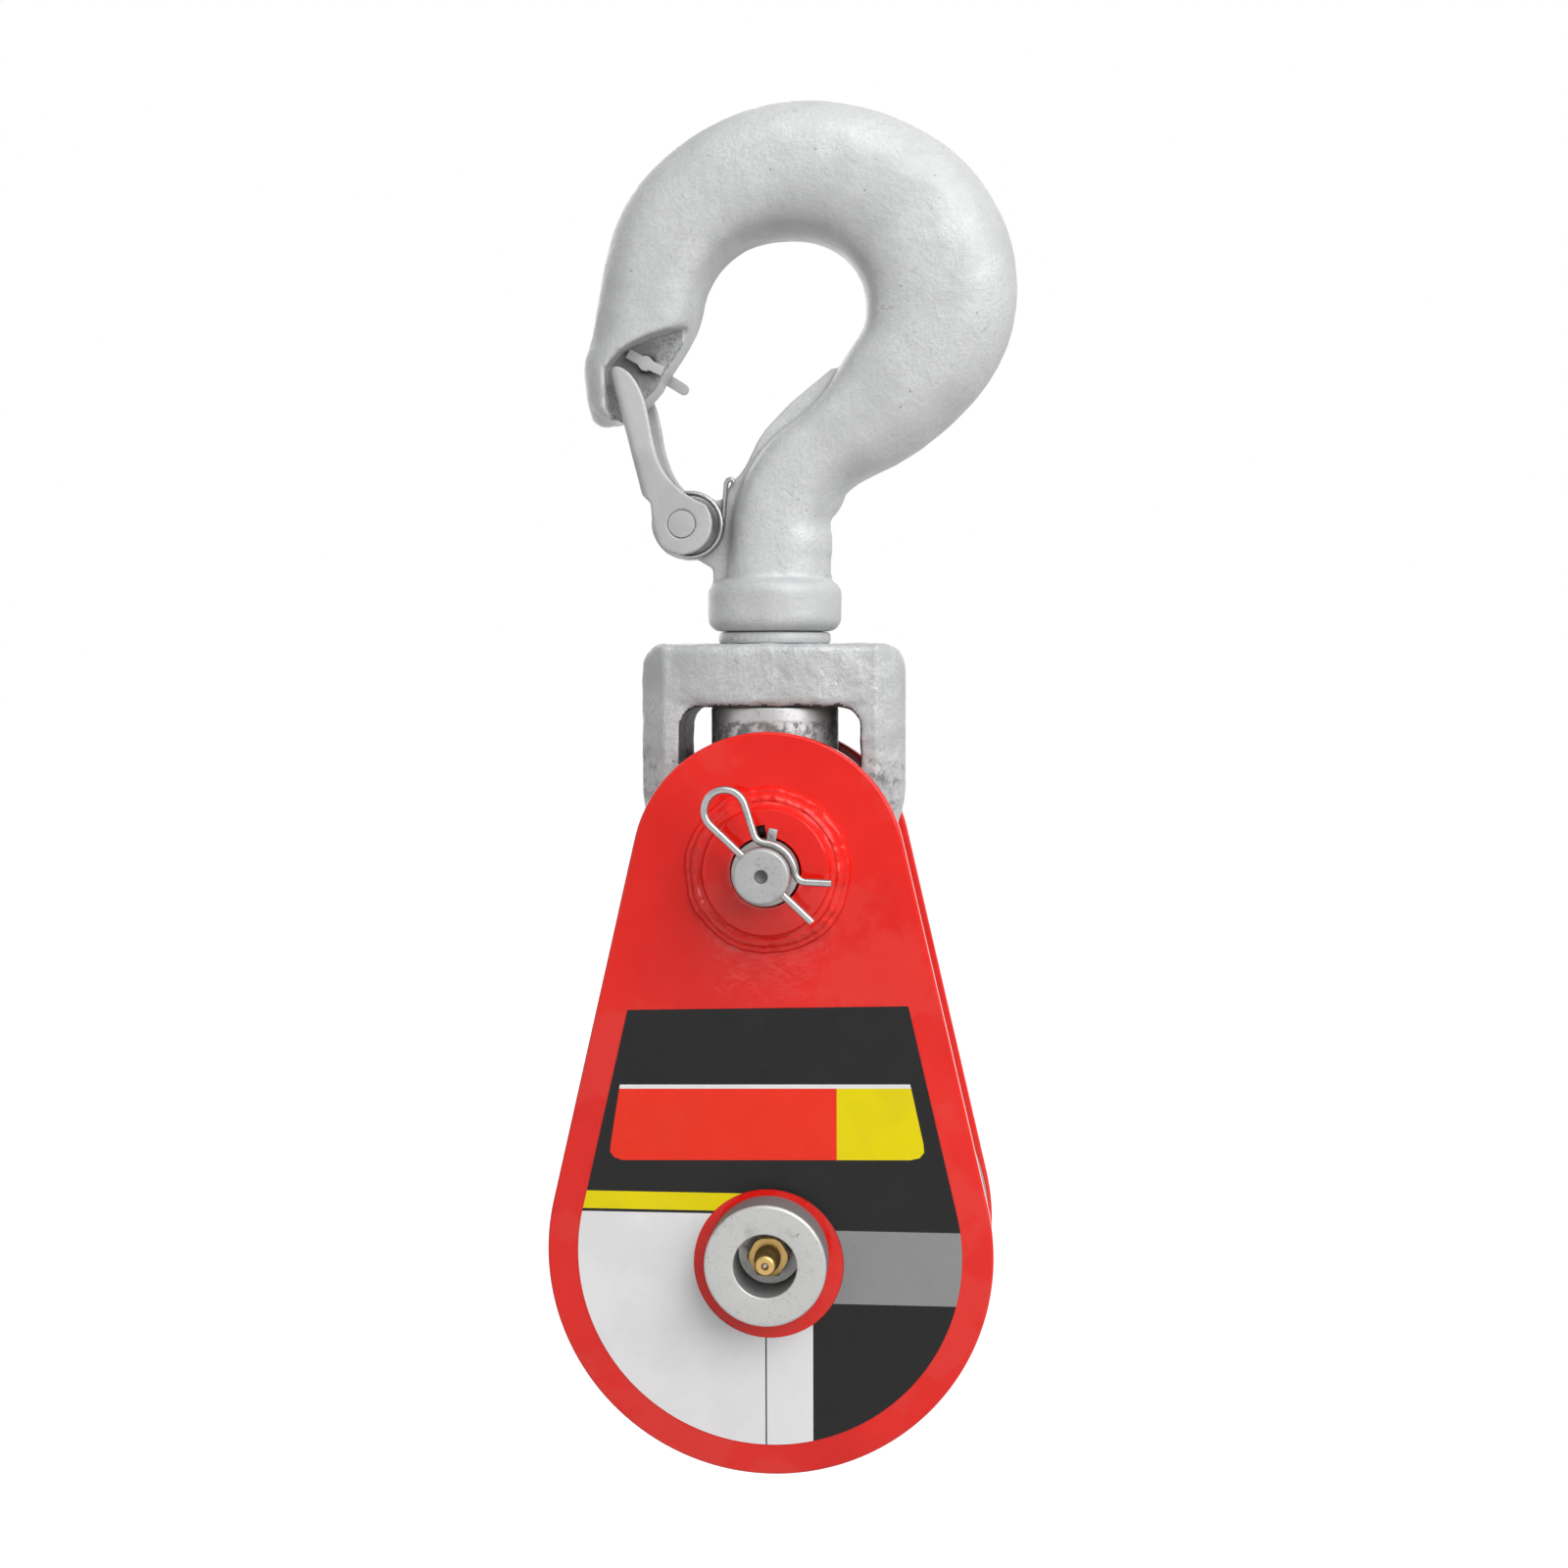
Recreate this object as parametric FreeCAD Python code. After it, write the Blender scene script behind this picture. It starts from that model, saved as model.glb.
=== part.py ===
"""Snatch block with a swivel latch hook, for 10 to 13 mm wire rope.

Units are millimetres. X runs across the block, Y from the front plate to the rear plate,
and Z up. The origin is the hook's seat: the top of the throat, on the swivel axis.
"""
import FreeCAD
import Part
import math
import os

# Block: pin spacing, plates and the gap between them
SEAT_TO_HEAD_PIN = 169.5
PIN_SPAN = 103.5
PLATE_LOW_RADIUS = 60.0
PLATE_HIGH_RADIUS = 36.6
PLATE_THICKNESS = 5.0
PLATE_GAP = 35.4
PLATE_EDGE_BEVEL = 0.7

# Fits
RUNNING_CLEARANCE = 0.08
SEAT_CLEARANCE = 0.02
AXIAL_PLAY = 0.2
LOOSE_CLEARANCE = 0.6

# Sheave for wire rope
SHEAVE_RADIUS = 59.0
ROPE_GROOVE_RADIUS = 6.9
GROOVE_DEPTH = 12.5
RIM_WIDTH = 27.0
RIM_DEPTH = 21.0
WEB_THICKNESS = 11.0
HUB_RADIUS = 22.0
BUSHING_WALL = 2.5
SIDE_WASHER_THICKNESS = 1.5
SIDE_WASHER_RADIUS = 21.0
HUB_DRAFT = 1.5
RIM_DRAFT = 2.5
RIM_BEVEL = 0.8
RIM_LIP = 2.6
GROOVE_FLANK_ANGLE = 20.0

# Axle with its round head, and the nut at the back
AXLE_RADIUS = 12.5
AXLE_HEAD_RADIUS = 16.2
AXLE_HEAD_HEIGHT = 10.8
AXLE_HEAD_BEVEL = 0.6
AXLE_TAIL_RADIUS = 9.5
AXLE_TAIL_LENGTH = 15.0
COUNTERBORE_RADIUS = 8.4
COUNTERBORE_DEPTH = 13.5
GREASE_BORE_RADIUS = 2.2
NUT_WASHER_RADIUS = 17.0
NUT_WASHER_THICKNESS = 2.5
AXLE_NUT_FLATS = 28.0
AXLE_NUT_HEIGHT = 11.0
AXLE_NUT_FACE_MARGIN = 0.3
AXLE_NUT_TAPER = 6.7
NUT_SLOT_DEPTH = 4.5
NUT_COTTER_RADIUS = 1.6

# Grease nipple
NIPPLE_FLATS = 10.0
NIPPLE_HEX_HEIGHT = 4.6
NIPPLE_BODY_RADIUS = 3.5
NIPPLE_BODY_HEIGHT = 2.8
NIPPLE_NECK_RADIUS = 2.2
NIPPLE_HEAD_RADIUS = 2.8
NIPPLE_HEAD_HEIGHT = 2.0
NIPPLE_HEAD_TAPER = 1.2
NIPPLE_HEAD_BEVEL = 0.8
NIPPLE_HEIGHT = 13.4
NIPPLE_STEM_RADIUS = 2.0
NIPPLE_STEM_LENGTH = 6.0
NIPPLE_BORE_RADIUS = 1.3
NIPPLE_MOUTH_RADIUS = 1.0
NIPPLE_BALL_RADIUS = 1.1

# Head pin, its bosses and the key that holds it in the front plate
HEAD_PIN_RADIUS = 8.8
SPIGOT_RADIUS = 7.3
SHOULDER_STAND = 9.0
SPIGOT_LENGTH = 9.0
CENTRE_DRILL_RADIUS = 1.8
CENTRE_DRILL_DEPTH = 2.4
BOSS_RADIUS = 17.0
BOSS_HEIGHT = 5.6
BOSS_BEVEL = 1.2
WELD_TOE_RADIUS = 22.4
WELD_HEIGHT = 3.8
WELD_BELLY = 0.8
WELD_BELLY_HEIGHT = 2.1
KEY_SLOT_WIDTH = 3.6
KEY_REACH = 3.0
KEY_WIDTH = 2.4
KEY_THICKNESS = 2.2
KEY_TURN = 11.0
SLOT_TURN = -9.0
PIN_HEAD_RADIUS = 13.5
PIN_HEAD_HEIGHT = 6.5
PIN_HEAD_BEVEL = 1.0

# Spring clip through the spigot
CLIP_WIRE_RADIUS = 1.0
CLIP_FROM_END = 4.6
CLIP_HOLE_CLEARANCE = 0.25
CLIP_ANGLE = -43.5
CLIP_LEG_OUT = 17.6
CLIP_LEG_IN = 24.0
CLIP_LOOP_RADIUS = 5.4
CLIP_WAVE_RADIUS = 3.0
CLIP_WAVE_ANGLE = 50.0
CLIP_TAIL = 6.6
CLIP_TAIL_ANGLE = 41.0

# Label film on the front plate
LABEL_MARGIN = 8.4
LABEL_TOP = 66.7
LABEL_HOLE_RADIUS = 20.2
LABEL_HOLE_DROP = 2.2
LABEL_THICKNESS = 0.2

# Yoke: a forged ring with a bridge, two arms and an eye for the head pin
YOKE_HALF_WIDTH = 35.6
YOKE_ARM_DEPTH = 31.0
YOKE_BRIDGE_DEPTH = 37.0
YOKE_BRIDGE_BOW = 3.6
YOKE_BRIDGE_THICKNESS = 17.0
YOKE_WINDOW_HALF_WIDTH = 24.2
YOKE_WINDOW_CORNER = 5.0
YOKE_SHOULDER_RADIUS = 6.8
YOKE_FLANK_RUN = 5.0
YOKE_EYE_RADIUS = 18.0
YOKE_EYE_LENGTH = 34.8
YOKE_EYE_ROOF = 5.0
YOKE_EDGE_ROUND = 2.5

# Swivel: collar, thrust washer, stem, round nut and the pin that locks it
COLLAR_TOP = -92.2
COLLAR_RADIUS = 18.3
COLLAR_HEIGHT = 13.9
COLLAR_ROUND = 3.8
THRUST_WASHER_RADIUS = 15.3
THRUST_WASHER_THICKNESS = 3.2
STEM_RADIUS = 11.9
NUT_RADIUS = 17.4
NUT_HEIGHT = 23.0
NUT_BEVEL = 0.8
NUT_PIN_RADIUS = 2.5
NUT_PIN_RISE = 8.2

# Hook: throat circle, then each forged section round it as
# (angle, opening beyond the throat circle, thickness, depth)
THROAT_RADIUS = 20.0
THROAT_OFFSET = 5.3
BOWL_SECTIONS = (
    (-34.0, -1.3, 34.2, 29.0),
    (-12.0, -0.3, 38.4, 30.0),
    (12.0, 0.0, 41.2, 30.5),
    (38.0, 0.2, 40.6, 30.5),
    (64.0, 0.0, 38.0, 30.5),
    (90.0, 0.0, 36.2, 30.5),
    (114.0, 1.2, 33.6, 30.0),
    (138.0, 2.9, 31.6, 29.5),
    (160.0, 4.2, 29.2, 29.0),
    (180.0, 5.2, 28.8, 28.5),
)
# Sections of the tip and the neck as (inner edge, back edge, depth)
TIP_SECTIONS = (
    ((-26.2, -32.6), (-51.3, -30.6), 28.5),
    ((-30.6, -39.4), (-51.7, -39.2), 28.0),
    ((-35.2, -44.6), (-50.2, -46.0), 25.5),
    ((-39.4, -48.4), (-47.2, -49.6), 15.0),
)
NECK_SECTIONS = (
    ((-12.6, -101.0), (14.4, -101.0), 27.0),
    ((-12.6, -94.0), (14.6, -94.0), 27.0),
    ((-12.3, -87.0), (15.0, -87.0), 27.0),
    ((-11.4, -79.0), (15.4, -79.0), 27.0),
    ((-10.4, -72.0), (16.0, -74.6), 27.0),
    ((-7.6, -64.4), (18.2, -70.4), 27.0),
    ((-3.4, -57.4), (20.6, -68.0), 27.0),
    ((3.6, -50.6), (25.8, -64.6), 27.0),
    ((11.6, -44.0), (32.6, -61.4), 27.5),
)
SECTION_POINTS = 16
THROAT_SQUARENESS = 0.5

# Hook: rib and latch lug, recess in the tip, holes
RIB_THICKNESS = 9.0
RIB_EDGE = ((16.0, -35.4), (5.2, -44.2), (-0.2, -49.5), (-3.7, -53.9), (-7.2, -60.8), (-11.2, -65.6))
RIB_ROOT = ((0.0, -88.0), (2.0, -70.0), (12.0, -58.0), (26.0, -48.0), (30.0, -36.0))
LUG_RADIUS = 9.0
LUG_TOP_ANGLE = 74.5
LUG_LOW_ANGLE = 285.0
LUG_SHOULDER = (9.6, 6.6)
LUG_KNEE = (7.4, -11.6)
TIP_CORE = 13.6
TIP_RECESS_EDGE = ((-44.6, -36.0), (-38.2, -29.8), (-31.8, -27.0), (-23.0, -24.4))
TIP_RECESS_OPEN = ((-15.0, -34.0), (-34.0, -60.0), (-41.6, -50.6), (-44.6, -46.4))
TIP_HOLE = (-34.0, -34.0)
TIP_HOLE_RADIUS = 2.3

# Latch: a folded channel on a rivet
LATCH_PIVOT = (-23.9, -77.4)
LATCH_INSIDE = 20.4
LATCH_SHEET = 2.5
LATCH_EYE_RADIUS = 8.2
LATCH_FOLD_RADIUS = 2.4
LATCH_THROAT_EDGE = (
    (-43.2, -36.8), (-41.8, -35.2), (-39.4, -35.8), (-36.6, -38.6), (-34.4, -42.8),
    (-32.8, -49.0), (-31.4, -56.4), (-28.4, -63.8), (-24.0, -68.4))
LATCH_BACK_EDGE = ((-32.4, -71.6), (-34.9, -69.4), (-43.2, -36.8))
LATCH_HEEL_ANGLE = 40.0
LATCH_EYE_END_ANGLE = -190.0
LATCH_WEB_TOP = -52.5
RIVET_RADIUS = 3.7
SPRING_WIRE_RADIUS = 0.7
SPRING_COIL_RADIUS = 8.3
SPRING_COIL_TURNS = 2.5
SPRING_PITCH = 1.55
SPRING_OFFSET = 1.1
SPRING_GAP = 0.15
SPRING_HOOK_LEG = (0.3, 11.4, 0.0)
SPRING_HOOK_BEND = ((0.9, 1.0, 0.0), (1.9, 0.1, 0.0))
SPRING_LATCH_LEG = (-0.8, 12.0, 0.0)

# Split cotter in the tip
COTTER_LEG_WIDTH = 2.6
COTTER_LEG_THICKNESS = 1.9
COTTER_SHANK_RADIUS = 2.0
COTTER_EYE_WIDTH = 3.0
COTTER_EYE_REACH = 11.0
COTTER_LEG_REACH = (5.4, 5.2)
COTTER_LEG_ANGLE = (150.0, -25.0)
COTTER_EYE_ANGLE = -32.0

# Places that follow from the sizes above
HEAD_PIN_Z = -SEAT_TO_HEAD_PIN
AXLE_Z = HEAD_PIN_Z - PIN_SPAN
PLATE_INSIDE = PLATE_GAP / 2
PLATE_OUTSIDE = PLATE_INSIDE + PLATE_THICKNESS
COLLAR_BOTTOM = COLLAR_TOP - COLLAR_HEIGHT
YOKE_TOP = COLLAR_BOTTOM - AXIAL_PLAY - THRUST_WASHER_THICKNESS
BRIDGE_UNDERSIDE = YOKE_TOP - YOKE_BRIDGE_THICKNESS
NUT_BOTTOM = BRIDGE_UNDERSIDE - NUT_HEIGHT
THROAT_CENTRE = (THROAT_OFFSET, -THROAT_RADIUS)
SPIGOT_END = PLATE_OUTSIDE + SHOULDER_STAND + SPIGOT_LENGTH
FRONT = FreeCAD.Vector(0, 1, 0)
UP = FreeCAD.Vector(0, 0, 1)


def at(x, z, y=0.0):
    """Point in the block's frame, from its place seen from the front and its depth."""
    return FreeCAD.Vector(x, y, z)


def round_y(radius, y_low, y_high, x=0.0, z=0.0):
    """Cylinder along Y."""
    return Part.makeCylinder(radius, y_high - y_low, at(x, z, y_low), FRONT)


def round_z(radius, z_low, z_high):
    """Cylinder along the swivel axis."""
    return Part.makeCylinder(radius, z_high - z_low, at(0, z_low), UP)


def block(x_low, x_high, y_low, y_high, z_low, z_high):
    """Box between two corners."""
    return Part.makeBox(x_high - x_low, y_high - y_low, z_high - z_low, at(x_low, z_low, y_low))


def plate_of(edges, y_low, y_high):
    """Flat solid between two depths, from a closed front outline drawn at depth 0."""
    face = Part.Face(Part.Wire(edges))
    face.translate(FreeCAD.Vector(0, y_low, 0))
    return face.extrude(FreeCAD.Vector(0, y_high - y_low, 0))


def polygon(points):
    """Straight edges through points, closed."""
    closed = list(points) + [points[0]]
    return [Part.makeLine(at(*start), at(*end)) for start, end in zip(closed, closed[1:])]


def arc(centre, radius, start, end):
    """Arc seen from the front, between two angles in degrees, turning through their middle."""
    turn = [math.radians(angle) for angle in (start, (start + end) / 2, end)]
    points = [at(centre[0] + radius * math.cos(t), centre[1] + radius * math.sin(t)) for t in turn]
    return Part.Arc(*points).toShape()


def curve(points):
    """Smooth edge through points seen from the front."""
    spline = Part.BSplineCurve()
    spline.interpolate([at(*point) for point in points])
    return spline.toShape()


def egg(low_radius, high_radius, low_z=AXLE_Z, high_z=HEAD_PIN_Z):
    """Outline of two circles on the swivel axis joined by their tangents."""
    lean = math.degrees(math.asin((low_radius - high_radius) / (high_z - low_z)))
    low = arc((0, low_z), low_radius, lean, -180 - lean)
    high = arc((0, high_z), high_radius, 180 - lean, lean)
    left = Part.makeLine(low.lastVertex().Point, high.firstVertex().Point)
    right = Part.makeLine(high.lastVertex().Point, low.firstVertex().Point)
    return [low, left, high, right]


def revolve_y(profile, z=AXLE_Z):
    """Turned solid about an axis along Y, from (radius, depth) corners."""
    face = Part.Face(Part.makePolygon([at(r, z, y) for r, y in list(profile) + [profile[0]]]))
    return face.revolve(at(0, z), FRONT, 360)


def hexagon(across_flats, y_low, y_high, z=AXLE_Z):
    """Hexagonal bar along Y."""
    corner = across_flats / 2 / math.cos(math.radians(30))
    turns = [math.radians(60 * k) for k in range(6)]
    return plate_of(polygon([(corner * math.cos(t), z + corner * math.sin(t)) for t in turns]), y_low, y_high)


def edges_at(solid, test):
    """Edges of a solid whose middle passes a test."""
    return [edge for edge in solid.Edges if test(edge.CenterOfMass, edge)]


def one_solid(shape):
    """The single solid inside a boolean result."""
    return shape.removeSplitter().Solids[0]


def side_plate(side):
    """Steel side plate; side is -1 at the front and 1 at the rear."""
    low, high = sorted((side * PLATE_INSIDE, side * PLATE_OUTSIDE))
    plate = plate_of(egg(PLATE_LOW_RADIUS, PLATE_HIGH_RADIUS), low, high)
    rim = edges_at(plate, lambda middle, edge: abs(abs(middle.y) - PLATE_GAP / 2) % PLATE_THICKNESS < 1e-6)
    plate = plate.makeChamfer(PLATE_EDGE_BEVEL, rim)
    plate = plate.cut(round_y(AXLE_RADIUS + RUNNING_CLEARANCE, low, high, 0, AXLE_Z))
    clearance = LOOSE_CLEARANCE if side < 0 else SEAT_CLEARANCE
    plate = plate.cut(round_y(HEAD_PIN_RADIUS + clearance, low, high, 0, HEAD_PIN_Z))
    if side < 0:
        plate = plate.cut(key_slot(low, high))
    return one_solid(plate)


def key_slot(y_low, y_high):
    """Slot above the head pin that the pin's key passes through."""
    reach = HEAD_PIN_RADIUS + KEY_REACH + LOOSE_CLEARANCE
    slot = block(-KEY_SLOT_WIDTH / 2, KEY_SLOT_WIDTH / 2, y_low, y_high, HEAD_PIN_Z, HEAD_PIN_Z + reach)
    slot.rotate(at(0, HEAD_PIN_Z), FRONT, SLOT_TURN)
    return slot


def boss(side):
    """Round boss with its weld, proud of a side plate."""
    profile = (
        (0.0, 0.0),
        (WELD_TOE_RADIUS, 0.0),
        ((WELD_TOE_RADIUS + BOSS_RADIUS) / 2 + WELD_BELLY, WELD_BELLY_HEIGHT),
        (BOSS_RADIUS, WELD_HEIGHT),
        (BOSS_RADIUS, BOSS_HEIGHT - BOSS_BEVEL),
        (BOSS_RADIUS - BOSS_BEVEL, BOSS_HEIGHT),
        (0.0, BOSS_HEIGHT),
    )
    body = revolve_y([(r, side * (PLATE_OUTSIDE + y)) for r, y in profile], HEAD_PIN_Z)
    low, high = sorted((side * PLATE_OUTSIDE, side * (PLATE_OUTSIDE + BOSS_HEIGHT)))
    clearance = LOOSE_CLEARANCE if side < 0 else SEAT_CLEARANCE
    body = body.cut(round_y(HEAD_PIN_RADIUS + clearance, low, high, 0, HEAD_PIN_Z))
    if side < 0:
        body = body.cut(key_slot(low, high))
    return one_solid(body)


def head_pin():
    """Head pin with its rear head, front spigot, key and cross hole."""
    rear = PLATE_OUTSIDE + BOSS_HEIGHT
    shoulder = PLATE_OUTSIDE + SHOULDER_STAND
    pin = revolve_y((
        (0.0, -SPIGOT_END),
        (SPIGOT_RADIUS - AXLE_HEAD_BEVEL, -SPIGOT_END),
        (SPIGOT_RADIUS, AXLE_HEAD_BEVEL - SPIGOT_END),
        (SPIGOT_RADIUS, -shoulder),
        (HEAD_PIN_RADIUS - AXLE_HEAD_BEVEL, -shoulder),
        (HEAD_PIN_RADIUS, AXLE_HEAD_BEVEL - shoulder),
        (HEAD_PIN_RADIUS, rear),
        (PIN_HEAD_RADIUS, rear),
        (PIN_HEAD_RADIUS, rear + PIN_HEAD_HEIGHT - PIN_HEAD_BEVEL),
        (PIN_HEAD_RADIUS - PIN_HEAD_BEVEL, rear + PIN_HEAD_HEIGHT),
        (0.0, rear + PIN_HEAD_HEIGHT),
    ), HEAD_PIN_Z)
    key_back = -PLATE_OUTSIDE - BOSS_HEIGHT - AXIAL_PLAY
    key = block(-KEY_WIDTH / 2, KEY_WIDTH / 2, key_back - KEY_THICKNESS, key_back,
                HEAD_PIN_Z, HEAD_PIN_Z + HEAD_PIN_RADIUS + KEY_REACH)
    key.rotate(at(0, HEAD_PIN_Z), FRONT, KEY_TURN)
    pin = pin.fuse(key)
    drill = Part.makeCone(CENTRE_DRILL_RADIUS, 0, CENTRE_DRILL_DEPTH, at(0, HEAD_PIN_Z, -SPIGOT_END), FRONT)
    hole = along_clip(CLIP_WIRE_RADIUS + CLIP_HOLE_CLEARANCE, -2 * SPIGOT_RADIUS, 2 * SPIGOT_RADIUS)
    return one_solid(pin.cut(drill).cut(hole))


def along_clip(radius, start, end):
    """Bar along the clip's straight leg, measured from the spigot's axis."""
    turn = math.radians(CLIP_ANGLE)
    way = FreeCAD.Vector(math.cos(turn), 0, math.sin(turn))
    return Part.makeCylinder(radius, end - start, clip_point(start, 0.0), way)


def clip_point(along, across):
    """Point in the clip's plane: along its straight leg, and across towards the wavy leg."""
    turn = math.radians(CLIP_ANGLE)
    x = along * math.cos(turn) - across * math.sin(turn)
    z = HEAD_PIN_Z + along * math.sin(turn) + across * math.cos(turn)
    return at(x, z, CLIP_FROM_END - SPIGOT_END)


def clip_arc(centre, radius, start, end):
    """Arc of the clip's path about a point of its plane, between two angles in degrees."""
    turn = [math.radians(angle) for angle in (start, (start + end) / 2, end)]
    points = [clip_point(centre[0] + radius * math.cos(t), centre[1] + radius * math.sin(t)) for t in turn]
    return Part.Arc(*points).toShape()


def hitch_clip():
    """Spring clip: a straight leg through the spigot, a loop and a wavy leg over it."""
    hug = SPIGOT_RADIUS + CLIP_WIRE_RADIUS + RUNNING_CLEARANCE
    wave = math.radians(CLIP_WAVE_ANGLE)
    out = (hug + CLIP_WAVE_RADIUS) * math.cos(wave)
    up = (hug + CLIP_WAVE_RADIUS) * math.sin(wave)
    loop_along = CLIP_LOOP_RADIUS - CLIP_LEG_IN
    span = math.hypot(out + loop_along, up - CLIP_LOOP_RADIUS)
    rise = math.atan2(up - CLIP_LOOP_RADIUS, -out - loop_along)
    fall = math.degrees(math.asin((CLIP_LOOP_RADIUS + CLIP_WAVE_RADIUS) / span) - rise)
    loop = clip_arc((loop_along, CLIP_LOOP_RADIUS), CLIP_LOOP_RADIUS, 270, 90 - fall)
    left = clip_arc((-out, up), CLIP_WAVE_RADIUS, -90 - fall, -CLIP_WAVE_ANGLE)
    over = clip_arc((0, 0), hug, 180 - CLIP_WAVE_ANGLE, CLIP_WAVE_ANGLE)
    right = clip_arc((out, up), CLIP_WAVE_RADIUS, 180 + CLIP_WAVE_ANGLE, 270 + CLIP_TAIL_ANGLE)
    tail = math.radians(CLIP_TAIL_ANGLE)
    tail_start = (out + CLIP_WAVE_RADIUS * math.sin(tail), up - CLIP_WAVE_RADIUS * math.cos(tail))
    tail_end = (tail_start[0] + CLIP_TAIL * math.cos(tail), tail_start[1] + CLIP_TAIL * math.sin(tail))
    start = clip_point(CLIP_LEG_OUT, 0.0)
    path = Part.Wire([
        Part.makeLine(start, clip_point(loop_along, 0.0)),
        loop,
        Part.makeLine(loop.valueAt(loop.LastParameter), left.valueAt(left.FirstParameter)),
        left,
        over,
        right,
        Part.makeLine(clip_point(*tail_start), clip_point(*tail_end)),
    ])
    section = Part.Wire(Part.makeCircle(CLIP_WIRE_RADIUS, start, clip_point(1.0, 0.0) - clip_point(0.0, 0.0)))
    return path.makePipeShell([section], True, True)


def label():
    """Thin label film with the plate's outline, open round the axle head."""
    film_high = -PLATE_OUTSIDE
    outline = egg(PLATE_LOW_RADIUS - LABEL_MARGIN, PLATE_HIGH_RADIUS - LABEL_MARGIN)
    film = plate_of(outline, film_high - LABEL_THICKNESS, film_high)
    above = AXLE_Z + LABEL_TOP
    film = film.cut(block(-PLATE_LOW_RADIUS, PLATE_LOW_RADIUS, -2 * PLATE_OUTSIDE, 0, above, 0))
    return one_solid(film.cut(round_y(LABEL_HOLE_RADIUS, -2 * PLATE_OUTSIDE, 0, 0, AXLE_Z - LABEL_HOLE_DROP)))


def axle():
    """Axle with a round head at the front, a threaded tail and a grease bore."""
    face = -PLATE_OUTSIDE - AXLE_HEAD_HEIGHT
    tail = PLATE_OUTSIDE + AXLE_TAIL_LENGTH
    bar = revolve_y((
        (0.0, face),
        (AXLE_HEAD_RADIUS - AXLE_HEAD_BEVEL, face),
        (AXLE_HEAD_RADIUS, face + AXLE_HEAD_BEVEL),
        (AXLE_HEAD_RADIUS, -PLATE_OUTSIDE),
        (AXLE_RADIUS, -PLATE_OUTSIDE),
        (AXLE_RADIUS, PLATE_OUTSIDE),
        (AXLE_TAIL_RADIUS, PLATE_OUTSIDE),
        (AXLE_TAIL_RADIUS, tail - AXLE_HEAD_BEVEL),
        (AXLE_TAIL_RADIUS - AXLE_HEAD_BEVEL, tail),
        (0.0, tail),
    ))
    bar = bar.cut(round_y(COUNTERBORE_RADIUS, face, face + COUNTERBORE_DEPTH, 0, AXLE_Z))
    bar = bar.cut(round_y(GREASE_BORE_RADIUS, face, 0, 0, AXLE_Z))
    feed = Part.makeCylinder(GREASE_BORE_RADIUS, AXLE_RADIUS, at(0, AXLE_Z, -GREASE_BORE_RADIUS), UP)
    return one_solid(bar.cut(feed).cut(nut_cotter_bar(NUT_COTTER_RADIUS + SEAT_CLEARANCE)))


def nut_cotter_bar(radius):
    """Round bar across the axle's tail, in the slots of its nut."""
    depth = PLATE_OUTSIDE + NUT_WASHER_THICKNESS + AXLE_NUT_HEIGHT - NUT_SLOT_DEPTH / 2
    reach = AXLE_NUT_FLATS / 2
    return Part.makeCylinder(radius, 2 * reach, at(-reach, AXLE_Z, depth), FreeCAD.Vector(1, 0, 0))


def ring_y(outer, inner, y_low, y_high):
    """Flat ring about the axle."""
    return round_y(outer, y_low, y_high, 0, AXLE_Z).cut(round_y(inner, y_low, y_high, 0, AXLE_Z))


def axle_nut():
    """Slotted nut on the axle's tail."""
    low = PLATE_OUTSIDE + NUT_WASHER_THICKNESS
    high = low + AXLE_NUT_HEIGHT
    nut = hexagon(AXLE_NUT_FLATS, low, high)
    face_radius = AXLE_NUT_FLATS / 2 + AXLE_NUT_FACE_MARGIN
    corners = Part.makeCone(face_radius + AXLE_NUT_TAPER, face_radius, AXLE_NUT_HEIGHT, at(0, AXLE_Z, low), FRONT)
    nut = nut.common(corners)
    nut = nut.cut(round_y(AXLE_TAIL_RADIUS + SEAT_CLEARANCE, low, high, 0, AXLE_Z))
    slot_width = 2 * (NUT_COTTER_RADIUS + RUNNING_CLEARANCE)
    for turn in (0, 60, 120):
        slot = block(-AXLE_NUT_FLATS, AXLE_NUT_FLATS, high - NUT_SLOT_DEPTH, high,
                     AXLE_Z - slot_width / 2, AXLE_Z + slot_width / 2)
        slot.rotate(at(0, AXLE_Z), FRONT, turn)
        nut = nut.cut(slot)
    return one_solid(nut)


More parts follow.
